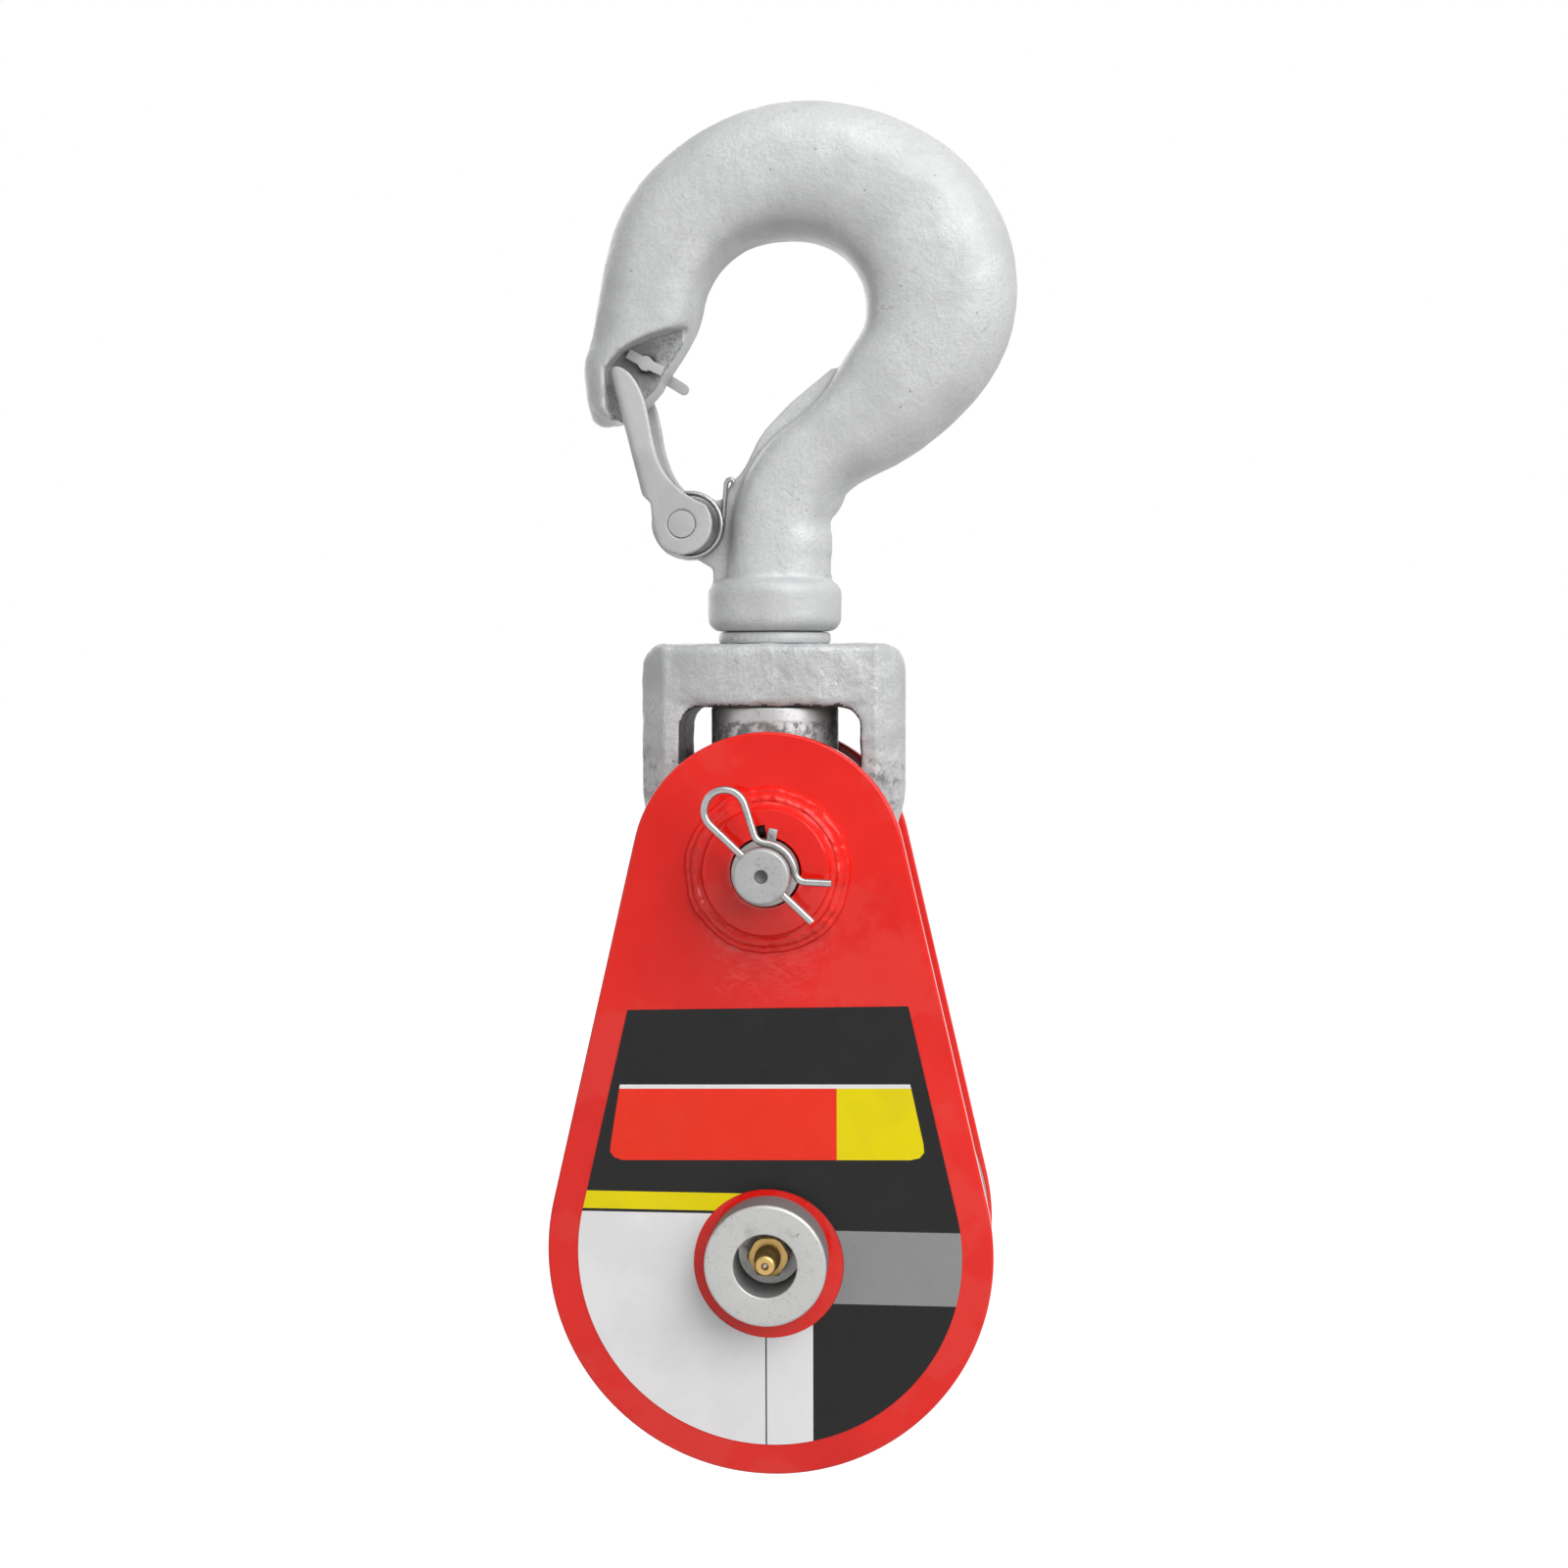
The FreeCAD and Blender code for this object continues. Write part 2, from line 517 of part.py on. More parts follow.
def grease_nipple():
    """Brass grease nipple screwed into the floor of the counterbore."""
    floor = -PLATE_OUTSIDE - AXLE_HEAD_HEIGHT + COUNTERBORE_DEPTH
    collar = floor - NIPPLE_HEX_HEIGHT
    tip = floor - NIPPLE_HEIGHT
    head = revolve_y((
        (0.0, floor + NIPPLE_STEM_LENGTH),
        (NIPPLE_STEM_RADIUS, floor + NIPPLE_STEM_LENGTH),
        (NIPPLE_STEM_RADIUS, floor),
        (NIPPLE_BODY_RADIUS, floor),
        (NIPPLE_BODY_RADIUS, collar - NIPPLE_BODY_HEIGHT),
        (NIPPLE_NECK_RADIUS, collar - NIPPLE_BODY_HEIGHT - NIPPLE_HEAD_TAPER),
        (NIPPLE_NECK_RADIUS, tip + NIPPLE_HEAD_HEIGHT + NIPPLE_HEAD_TAPER),
        (NIPPLE_HEAD_RADIUS, tip + NIPPLE_HEAD_HEIGHT),
        (NIPPLE_HEAD_RADIUS, tip + NIPPLE_HEAD_BEVEL),
        (NIPPLE_HEAD_RADIUS - NIPPLE_HEAD_BEVEL, tip),
        (0.0, tip),
    ))
    head = head.fuse(hexagon(NIPPLE_FLATS, collar, floor))
    bore_low = tip + NIPPLE_BALL_RADIUS
    head = head.cut(round_y(NIPPLE_BORE_RADIUS, bore_low, floor + NIPPLE_STEM_LENGTH, 0, AXLE_Z))
    return one_solid(head.cut(round_y(NIPPLE_MOUTH_RADIUS, tip, bore_low, 0, AXLE_Z)))


def nipple_ball():
    """Check ball behind the nipple's mouth."""
    tip = -PLATE_OUTSIDE - AXLE_HEAD_HEIGHT + COUNTERBORE_DEPTH - NIPPLE_HEIGHT
    reach = math.sqrt(NIPPLE_BALL_RADIUS ** 2 - NIPPLE_MOUTH_RADIUS ** 2)
    return Part.makeSphere(NIPPLE_BALL_RADIUS, at(0, AXLE_Z, tip + NIPPLE_BALL_RADIUS + reach + SEAT_CLEARANCE))


def sheave():
    """Grooved rope sheave with a recessed web and a hub."""
    half_rim = RIM_WIDTH / 2
    root = SHEAVE_RADIUS - GROOVE_DEPTH
    throat = root + ROPE_GROOVE_RADIUS
    rim_inside = SHEAVE_RADIUS - RIM_DEPTH
    half_hub = PLATE_GAP / 2 - SIDE_WASHER_THICKNESS - AXIAL_PLAY
    flank_angle = math.radians(GROOVE_FLANK_ANGLE)
    flank = throat - ROPE_GROOVE_RADIUS * math.sin(flank_angle)
    flank_half = ROPE_GROOVE_RADIUS * math.cos(flank_angle)
    bore = AXLE_RADIUS + RUNNING_CLEARANCE + BUSHING_WALL + SEAT_CLEARANCE
    half_web = WEB_THICKNESS / 2
    half = (
        (flank, flank_half),
        (SHEAVE_RADIUS, half_rim - RIM_LIP),
        (SHEAVE_RADIUS, half_rim - RIM_BEVEL),
        (SHEAVE_RADIUS - RIM_BEVEL, half_rim),
        (rim_inside, half_rim),
        (rim_inside - RIM_DRAFT, half_web),
        (HUB_RADIUS + HUB_DRAFT, half_web),
        (HUB_RADIUS, half_hub),
        (bore, half_hub),
    )
    profile = list(half) + [(radius, -depth) for radius, depth in reversed(half)]
    points = [at(radius, AXLE_Z, depth) for radius, depth in profile]
    edges = [Part.makeLine(low, high) for low, high in zip(points, points[1:])]
    edges.append(Part.Arc(points[-1], at(root, AXLE_Z), points[0]).toShape())
    return Part.Face(Part.Wire(edges)).revolve(at(0, AXLE_Z), FRONT, 360)


def sheave_bushing():
    """Bronze bushing pressed in the sheave."""
    half_hub = PLATE_GAP / 2 - SIDE_WASHER_THICKNESS - AXIAL_PLAY
    bore = AXLE_RADIUS + RUNNING_CLEARANCE
    return ring_y(bore + BUSHING_WALL, bore, -half_hub, half_hub)


def side_washer(side):
    """Wear washer between the sheave's hub and a side plate."""
    low, high = sorted((side * PLATE_INSIDE, side * (PLATE_INSIDE - SIDE_WASHER_THICKNESS)))
    return ring_y(SIDE_WASHER_RADIUS, AXLE_RADIUS + RUNNING_CLEARANCE, low, high)


def yoke():
    """Forged yoke: bridge above, arms at the sides, eye for the head pin below."""
    half = YOKE_HALF_WIDTH
    shoulder = YOKE_SHOULDER_RADIUS
    bend = HEAD_PIN_Z + half - YOKE_EYE_RADIUS + YOKE_FLANK_RUN
    skirt = egg(YOKE_EYE_RADIUS, half, HEAD_PIN_Z, bend)
    body = plate_of(skirt, -YOKE_ARM_DEPTH / 2, YOKE_ARM_DEPTH / 2)
    body = body.common(block(-half, half, -YOKE_ARM_DEPTH, YOKE_ARM_DEPTH, HEAD_PIN_Z - half, bend))
    outline = [
        Part.makeLine(at(half, bend), at(half, YOKE_TOP - shoulder)),
        arc((half - shoulder, YOKE_TOP - shoulder), shoulder, 0, 90),
        Part.makeLine(at(half - shoulder, YOKE_TOP), at(shoulder - half, YOKE_TOP)),
        arc((shoulder - half, YOKE_TOP - shoulder), shoulder, 90, 180),
        Part.makeLine(at(-half, YOKE_TOP - shoulder), at(-half, bend)),
        Part.makeLine(at(-half, bend), at(half, bend)),
    ]
    frame = plate_of(outline, -YOKE_ARM_DEPTH / 2, YOKE_ARM_DEPTH / 2)
    body = one_solid(body.fuse(frame))
    faces = edges_at(body, lambda middle, edge: abs(abs(middle.y) - YOKE_ARM_DEPTH / 2) < 1e-6)
    body = body.makeFillet(YOKE_EDGE_ROUND, faces)
    eye = round_y(YOKE_EYE_RADIUS - YOKE_EDGE_ROUND, -YOKE_EYE_LENGTH / 2, YOKE_EYE_LENGTH / 2, 0, HEAD_PIN_Z)
    body = body.fuse(yoke_bridge()).fuse(eye)
    body = body.cut(yoke_window())
    body = body.cut(round_y(HEAD_PIN_RADIUS + RUNNING_CLEARANCE, -half, half, 0, HEAD_PIN_Z))
    return one_solid(body.cut(round_z(STEM_RADIUS + RUNNING_CLEARANCE, BRIDGE_UNDERSIDE, YOKE_TOP)))


def yoke_bridge():
    """Bridge of the yoke, bulged at the front and the back."""
    reach = YOKE_HALF_WIDTH - YOKE_SHOULDER_RADIUS
    radius = (reach ** 2 + YOKE_BRIDGE_BOW ** 2) / (2 * YOKE_BRIDGE_BOW)
    bow = Part.makeCylinder(radius, YOKE_BRIDGE_THICKNESS, at(0, BRIDGE_UNDERSIDE), UP)
    bridge = block(-reach, reach, -YOKE_BRIDGE_DEPTH / 2, YOKE_BRIDGE_DEPTH / 2, BRIDGE_UNDERSIDE, YOKE_TOP)
    front = bow.copy()
    front.translate(FreeCAD.Vector(0, radius - YOKE_BRIDGE_DEPTH / 2, 0))
    rear = bow.copy()
    rear.translate(FreeCAD.Vector(0, YOKE_BRIDGE_DEPTH / 2 - radius, 0))
    bridge = one_solid(bridge.common(front).common(rear))
    flat = edges_at(bridge, lambda middle, edge: abs(middle.y) > 1 and abs(middle.x) < reach - 1e-3)
    return bridge.makeFillet(YOKE_EDGE_ROUND, flat)


def yoke_window():
    """Window between the yoke's arms."""
    half = YOKE_WINDOW_HALF_WIDTH
    corner = YOKE_WINDOW_CORNER
    floor = HEAD_PIN_Z + HEAD_PIN_RADIUS + YOKE_EYE_ROOF
    top = BRIDGE_UNDERSIDE
    edges = [
        Part.makeLine(at(corner - half, top), at(half - corner, top)),
        arc((half - corner, top - corner), corner, 90, 0),
        Part.makeLine(at(half, top - corner), at(half, floor + corner)),
        arc((half - corner, floor + corner), corner, 0, -90),
        Part.makeLine(at(half - corner, floor), at(corner - half, floor)),
        arc((corner - half, floor + corner), corner, -90, -180),
        Part.makeLine(at(-half, floor + corner), at(-half, top - corner)),
        arc((corner - half, top - corner), corner, 180, 90),
    ]
    return plate_of(edges, -YOKE_BRIDGE_DEPTH, YOKE_BRIDGE_DEPTH)


def thrust_washer():
    """Washer between the hook's collar and the yoke's bridge."""
    washer = round_z(THRUST_WASHER_RADIUS, YOKE_TOP, YOKE_TOP + THRUST_WASHER_THICKNESS)
    rim = edges_at(washer, lambda middle, edge: edge.Length > 6 * THRUST_WASHER_RADIUS)
    washer = washer.makeFillet(THRUST_WASHER_THICKNESS / 4, rim)
    bore = STEM_RADIUS + RUNNING_CLEARANCE
    return one_solid(washer.cut(round_z(bore, YOKE_TOP, YOKE_TOP + THRUST_WASHER_THICKNESS)))


def swivel_nut():
    """Round nut below the bridge that carries the block."""
    nut = round_z(NUT_RADIUS, NUT_BOTTOM, BRIDGE_UNDERSIDE)
    rim = edges_at(nut, lambda middle, edge: edge.Length > 6 * NUT_RADIUS)
    nut = nut.makeChamfer(NUT_BEVEL, rim)
    nut = nut.cut(round_z(STEM_RADIUS + SEAT_CLEARANCE, NUT_BOTTOM, BRIDGE_UNDERSIDE))
    return one_solid(nut.cut(nut_pin_bar(NUT_PIN_RADIUS + SEAT_CLEARANCE, NUT_RADIUS + 1)))


def nut_pin_bar(radius, reach):
    """Round bar across the nut and the stem."""
    middle = NUT_BOTTOM + NUT_PIN_RISE
    return Part.makeCylinder(radius, 2 * reach, at(0, middle, -reach), FRONT)


def nut_lock_pin():
    """Pin driven through the nut and the stem."""
    return nut_pin_bar(NUT_PIN_RADIUS, NUT_RADIUS - NUT_BEVEL)


def forged_section(inner, back, depth):
    """Closed curve of one hook section: flattened to the throat, round at the back."""
    across = FreeCAD.Vector(back[0] - inner[0], 0, back[1] - inner[1])
    half = across.Length / 2
    across.normalize()
    middle = at((inner[0] + back[0]) / 2, (inner[1] + back[1]) / 2)
    points = []
    for k in range(SECTION_POINTS):
        turn = 2 * math.pi * k / SECTION_POINTS
        cosine = math.cos(turn)
        sine = math.sin(turn)
        shape = 1.0 if cosine > 0 else THROAT_SQUARENESS
        u = math.copysign(abs(cosine) ** shape, cosine) * half
        v = math.copysign(abs(sine) ** ((1 + shape) / 2), sine) * depth / 2
        points.append(middle + across * u + FRONT * v)
    loop = Part.BSplineCurve()
    loop.interpolate(Points=points, PeriodicFlag=True)
    return Part.Wire(loop.toShape())


def bowl_edge(angle, radius):
    """Point round the throat's centre."""
    turn = math.radians(angle)
    return THROAT_CENTRE[0] + radius * math.cos(turn), THROAT_CENTRE[1] + radius * math.sin(turn)


def hook_body():
    """Forged hook from the collar, round the bowl, to the tip."""
    sections = [forged_section(*row) for row in NECK_SECTIONS]
    for angle, opening, thickness, depth in BOWL_SECTIONS:
        inner = bowl_edge(angle, THROAT_RADIUS + opening)
        back = bowl_edge(angle, THROAT_RADIUS + opening + thickness)
        sections.append(forged_section(inner, back, depth))
    sections.extend(forged_section(*row) for row in TIP_SECTIONS)
    return Part.makeLoft(sections, True, False, False, 3)


def rib_and_lug():
    """Flat web in the hook's middle plane: the rib in the throat and the latch lug."""
    px, pz = LATCH_PIVOT
    shoulder = (px + LUG_SHOULDER[0], pz + LUG_SHOULDER[1])
    eye = arc(LATCH_PIVOT, LUG_RADIUS, LUG_TOP_ANGLE, LUG_LOW_ANGLE)
    knee = (px + LUG_KNEE[0], pz + LUG_KNEE[1])
    foot = (px + LUG_KNEE[0], COLLAR_TOP - COLLAR_ROUND)
    edges = [
        curve(RIB_EDGE),
        Part.makeLine(at(*RIB_EDGE[-1]), at(*shoulder)),
        Part.makeLine(at(*shoulder), eye.firstVertex().Point),
        eye,
        Part.makeLine(eye.lastVertex().Point, at(*knee)),
        Part.makeLine(at(*knee), at(*foot)),
    ]
    inside = [foot, *RIB_ROOT, RIB_EDGE[0]]
    edges.extend(Part.makeLine(at(*start), at(*end)) for start, end in zip(inside, inside[1:]))
    return plate_of(edges, -RIB_THICKNESS / 2, RIB_THICKNESS / 2)


def tip_recess(side):
    """Pocket in one side of the tip, where a cheek of the latch lies."""
    low, high = sorted((side * TIP_CORE / 2, side * PLATE_GAP))
    corners = (TIP_RECESS_EDGE[-1], *TIP_RECESS_OPEN, TIP_RECESS_EDGE[0])
    edges = [curve(TIP_RECESS_EDGE)]
    edges.extend(Part.makeLine(at(*start), at(*end)) for start, end in zip(corners, corners[1:]))
    return plate_of(edges, low, high)


def hook():
    """Hook with its rib, lug, collar and swivel stem in one forging."""
    collar = round_z(COLLAR_RADIUS, COLLAR_BOTTOM, COLLAR_TOP)
    rim = edges_at(collar, lambda middle, edge: edge.Length > 6 * COLLAR_RADIUS)
    collar = collar.makeFillet(COLLAR_ROUND, rim)
    stem = round_z(STEM_RADIUS, NUT_BOTTOM, COLLAR_TOP - COLLAR_ROUND)
    solid = collar.fuse(stem).fuse(rib_and_lug()).fuse(hook_body())
    for side in (-1, 1):
        solid = solid.cut(tip_recess(side))
    solid = solid.cut(round_y(TIP_HOLE_RADIUS, -PLATE_GAP, PLATE_GAP, *TIP_HOLE))
    solid = solid.cut(round_y(RIVET_RADIUS + SEAT_CLEARANCE, -PLATE_GAP, PLATE_GAP, *LATCH_PIVOT))
    return one_solid(solid.cut(nut_pin_bar(NUT_PIN_RADIUS + SEAT_CLEARANCE, STEM_RADIUS + 1)))


def latch():
    """Latch: two cheeks joined by a web, folded from one sheet."""
    px, pz = LATCH_PIVOT
    half = LATCH_INSIDE / 2 + LATCH_SHEET
    heel = math.radians(LATCH_HEEL_ANGLE)
    heel_point = (px + LATCH_EYE_RADIUS * math.cos(heel), pz + LATCH_EYE_RADIUS * math.sin(heel))
    eye = arc(LATCH_PIVOT, LATCH_EYE_RADIUS, LATCH_HEEL_ANGLE, LATCH_EYE_END_ANGLE)
    left = eye.lastVertex().Point
    corners = [(left.x, left.z), *LATCH_BACK_EDGE]
    edges = [curve((*LATCH_THROAT_EDGE, heel_point)), eye]
    edges.extend(Part.makeLine(at(*start), at(*end)) for start, end in zip(corners, corners[1:]))
    solid = plate_of(edges, -half, half)
    low, high = LATCH_BACK_EDGE[-2:]
    middle_x = (low[0] + high[0]) / 2
    middle_z = (low[1] + high[1]) / 2
    folds = edges_at(solid, lambda middle, edge: abs(abs(middle.y) - half) < 1e-6
                     and math.hypot(middle.x - middle_x, middle.z - middle_z) < LATCH_SHEET / 2)
    solid = solid.makeFillet(LATCH_FOLD_RADIUS, folds)
    sheet = LATCH_SHEET * math.hypot(high[0] - low[0], high[1] - low[1]) / (high[1] - low[1])
    behind = px - 2 * LATCH_EYE_RADIUS
    below = pz - 2 * LATCH_EYE_RADIUS
    inside = polygon(((low[0] + sheet, low[1]), (high[0] + sheet, high[1]), (0.0, high[1]), (0.0, below),
                      (behind, below), (behind, low[1])))
    solid = solid.cut(plate_of(inside, -LATCH_INSIDE / 2, LATCH_INSIDE / 2))
    above = block(high[0] - half, 0.0, -LATCH_INSIDE / 2, LATCH_INSIDE / 2, LATCH_WEB_TOP, 0.0)
    solid = solid.cut(above)
    return one_solid(solid.cut(round_y(RIVET_RADIUS + RUNNING_CLEARANCE, -half, half, px, pz)))


def latch_rivet():
    """Rivet through the latch's cheeks and the lug."""
    reach = LATCH_INSIDE / 2 + LATCH_SHEET + RUNNING_CLEARANCE
    return round_y(RIVET_RADIUS, -reach, reach, *LATCH_PIVOT)


def latch_spring():
    """Torsion spring of the latch, between the lug and the front cheek."""
    px, pz = LATCH_PIVOT
    wire = SPRING_WIRE_RADIUS
    back = -RIB_THICKNESS / 2 - wire - SPRING_GAP
    helix = Part.makeHelix(SPRING_PITCH, SPRING_PITCH * SPRING_COIL_TURNS, SPRING_COIL_RADIUS, 0, True).Edges[0]
    low = helix.valueAt(helix.FirstParameter)
    high = helix.valueAt(helix.LastParameter)
    knee = low + FreeCAD.Vector(*SPRING_HOOK_LEG)
    latch_leg = FreeCAD.Vector(*SPRING_LATCH_LEG)
    bend = Part.Arc(knee, *[knee + FreeCAD.Vector(*step) for step in SPRING_HOOK_BEND]).toShape()
    runs = [bend, Part.makeLine(knee, low), helix, Part.makeLine(high, high + latch_leg)]
    section = Part.Wire(Part.makeCircle(wire, high + latch_leg, latch_leg))
    spring = Part.Wire(Part.__sortEdges__(runs)).makePipeShell([section], True, False)
    spring.rotate(FreeCAD.Vector(0, 0, 0), FreeCAD.Vector(1, 0, 0), 90)
    spring.translate(at(px + SPRING_OFFSET, pz, back))
    return spring


def tip_cotter():
    """Split cotter in the tip: shank, two bent legs in front, eye behind."""
    x, z = TIP_HOLE
    face = TIP_CORE / 2 + RUNNING_CLEARANCE
    solid = round_y(COTTER_SHANK_RADIUS, -face - COTTER_LEG_THICKNESS, face + COTTER_LEG_THICKNESS, x, z)
    for reach, angle in zip(COTTER_LEG_REACH, COTTER_LEG_ANGLE):
        leg = block(x, x + reach, -face - COTTER_LEG_THICKNESS, -face, z - COTTER_LEG_WIDTH / 2,
                    z + COTTER_LEG_WIDTH / 2)
        leg.rotate(at(x, z), FRONT, -angle)
        solid = solid.fuse(leg)
    end = x + COTTER_EYE_REACH - COTTER_EYE_WIDTH / 2
    eye = block(x, end, face, face + COTTER_LEG_THICKNESS, z - COTTER_EYE_WIDTH / 2, z + COTTER_EYE_WIDTH / 2)
    eye = eye.fuse(round_y(COTTER_EYE_WIDTH / 2, face, face + COTTER_LEG_THICKNESS, end, z))
    eye.rotate(at(x, z), FRONT, -COTTER_EYE_ANGLE)
    return one_solid(solid.fuse(eye))


PARTS = {
    "hook": hook,
    "thrust_washer": thrust_washer,
    "yoke": yoke,
    "swivel_nut": swivel_nut,
    "nut_lock_pin": nut_lock_pin,
    "latch": latch,
    "latch_rivet": latch_rivet,
    "latch_spring": latch_spring,
    "tip_cotter": tip_cotter,
    "front_plate": lambda: side_plate(-1),
    "rear_plate": lambda: side_plate(1),
    "front_boss": lambda: boss(-1),
    "rear_boss": lambda: boss(1),
    "head_pin": head_pin,
    "hitch_clip": hitch_clip,
    "sheave": sheave,
    "sheave_bushing": sheave_bushing,
    "front_side_washer": lambda: side_washer(-1),
    "rear_side_washer": lambda: side_washer(1),
    "axle": axle,
    "grease_nipple": grease_nipple,
    "nipple_ball": nipple_ball,
    "axle_nut_washer": lambda: ring_y(NUT_WASHER_RADIUS, AXLE_TAIL_RADIUS + RUNNING_CLEARANCE, PLATE_OUTSIDE,
                                      PLATE_OUTSIDE + NUT_WASHER_THICKNESS),
    "axle_nut": axle_nut,
    "nut_cotter": lambda: nut_cotter_bar(NUT_COTTER_RADIUS),
    "label": label,
}

os.makedirs("parts", exist_ok=True)
for name, build in PARTS.items():
    shape = build()
    print(name, shape.ShapeType, shape.isValid(), round(shape.Volume, 1), [round(v, 1) for v in (
        shape.BoundBox.XMin, shape.BoundBox.XMax, shape.BoundBox.YMin, shape.BoundBox.YMax,
        shape.BoundBox.ZMin, shape.BoundBox.ZMax)])
    shape.exportStep("parts/" + name + ".step")
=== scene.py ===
"""Looks of the snatch block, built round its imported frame.

Metres, in the frame of the CAD: the origin is the hook's seat, +Z up the swivel axis, +X to the
right seen from the label, +Y from the front plate to the rear plate. Sizes below are in
millimetres, as on a drawing, and turned into metres where a mesh is made.
"""

import logging
import math
from contextlib import contextmanager
from dataclasses import dataclass
from enum import Enum
from typing import Callable, Iterator, Sequence

import bpy
from mathutils import Matrix, Quaternion, Vector, noise


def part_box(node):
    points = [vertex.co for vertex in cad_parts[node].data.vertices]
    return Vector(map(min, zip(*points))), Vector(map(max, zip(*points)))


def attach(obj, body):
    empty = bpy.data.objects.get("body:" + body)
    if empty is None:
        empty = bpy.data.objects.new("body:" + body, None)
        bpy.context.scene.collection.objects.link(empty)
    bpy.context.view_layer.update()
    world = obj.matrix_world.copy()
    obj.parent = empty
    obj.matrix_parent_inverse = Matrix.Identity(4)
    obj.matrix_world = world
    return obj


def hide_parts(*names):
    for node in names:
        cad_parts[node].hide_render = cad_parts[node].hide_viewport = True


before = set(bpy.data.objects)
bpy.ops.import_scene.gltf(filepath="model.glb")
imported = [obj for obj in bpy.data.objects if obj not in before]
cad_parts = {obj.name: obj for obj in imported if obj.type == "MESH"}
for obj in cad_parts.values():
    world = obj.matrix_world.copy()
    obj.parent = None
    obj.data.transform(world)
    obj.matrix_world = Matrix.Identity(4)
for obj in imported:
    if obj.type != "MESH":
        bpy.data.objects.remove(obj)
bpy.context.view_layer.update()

LOG = logging.getLogger("snatch_block")
MM = 0.001
MERGE = 2e-6  # metres within which two vertices become one
HEX_RATIO = math.cos(math.pi / 6)  # from a hexagon's corners to its flats
Pair = tuple[float, float]
Point = tuple[float, float, float]
Colour = tuple[float, float, float]
Piece = bpy.types.Object
Material = bpy.types.Material
Socket = bpy.types.NodeSocket


class Axis(Enum):
    """Direction that a turned piece is built along."""

    DEPTH = Vector((0.0, 1.0, 0.0))
    UP = Vector((0.0, 0.0, 1.0))


# Bench work


def deselect() -> None:
    """Leave edit mode and drop every selection."""
    if bpy.context.object and bpy.context.object.mode != "OBJECT":
        bpy.ops.object.mode_set(mode="OBJECT")
    bpy.ops.object.select_all(action="DESELECT")


def pick(piece: Piece) -> None:
    """Make a piece the only selected and active one."""
    deselect()
    piece.select_set(True)
    bpy.context.view_layer.objects.active = piece


@contextmanager
def editing(piece: Piece, kind: str = "VERT") -> Iterator[None]:
    """Edit mode on one piece with everything in it selected.

    Args:
        piece: The mesh to edit.
        kind: Selection mode, VERT, EDGE or FACE.
    """
    pick(piece)
    bpy.ops.object.mode_set(mode="EDIT")
    bpy.ops.mesh.select_mode(type=kind)
    bpy.ops.mesh.select_all(action="SELECT")
    yield
    bpy.ops.object.mode_set(mode="OBJECT")


def modify(piece: Piece, kind: str, **settings: object) -> None:
    """Add one modifier and apply it.

    Args:
        piece: The mesh to change.
        kind: The modifier's type.
        **settings: Its properties.
    """
    pick(piece)
    modifier = piece.modifiers.new(kind.title(), kind)
    for key, value in settings.items():
        setattr(modifier, key, value)
    bpy.ops.object.modifier_apply(modifier=modifier.name)


def bake_place() -> None:
    """Put the active piece's place, turn and scale into its mesh."""
    bpy.ops.object.transform_apply(location=True, rotation=True, scale=True)


def settle(piece: Piece, angle: float = 35.0) -> Piece:
    """Put a piece's place into its mesh and shade it smooth.

    Args:
        piece: The mesh.
        angle: Edges up to this many degrees are smooth.

    Returns:
        The same piece.
    """
    pick(piece)
    bake_place()
    bpy.ops.object.shade_smooth_by_angle(angle=math.radians(angle))
    return piece


def soften(piece: Piece, width: float, segments: int = 2, angle: float = 30.0) -> None:
    """Round every sharp edge of a piece.

    Args:
        piece: The mesh.
        width: Width of the rounding in millimetres.
        segments: Faces across it.
        angle: Edges sharper than this many degrees are rounded.
    """
    modify(piece, "BEVEL", width=width * MM, segments=segments, limit_method="ANGLE",
           angle_limit=math.radians(angle), use_clamp_overlap=True)


def made(name: str) -> Piece:
    """Name the piece that the last operator made, and return it."""
    piece = bpy.context.object
    piece.name = piece.data.name = name
    return piece


def placed(name: str, data: bpy.types.ID) -> Piece:
    """Put a mesh, curve, camera or lamp into the scene under a name, and return its object."""
    thing = bpy.data.objects.new(name, data)
    bpy.context.scene.collection.objects.link(thing)
    return thing


def stretched(name: str, centre: Point, scale: Point, lean: float = 0.0) -> Piece:
    """Bring the primitive just added to its size and place.

    Args:
        name: Name of the piece.
        centre: Its middle in millimetres.
        scale: Its scale along X, Y and Z.
        lean: Its turn about Y in degrees.

    Returns:
        The piece, with its place in its mesh.
    """
    piece = made(name)
    piece.location = Vector(centre) * MM
    piece.rotation_euler = (0.0, math.radians(lean), 0.0)
    piece.scale = scale
    bake_place()
    return piece


def block(name: str, centre: Point, size: Point, lean: float = 0.0) -> Piece:
    """Box in millimetres, leaned about Y by an angle in degrees."""
    deselect()
    bpy.ops.mesh.primitive_cube_add(size=MM)
    return stretched(name, centre, size, lean)


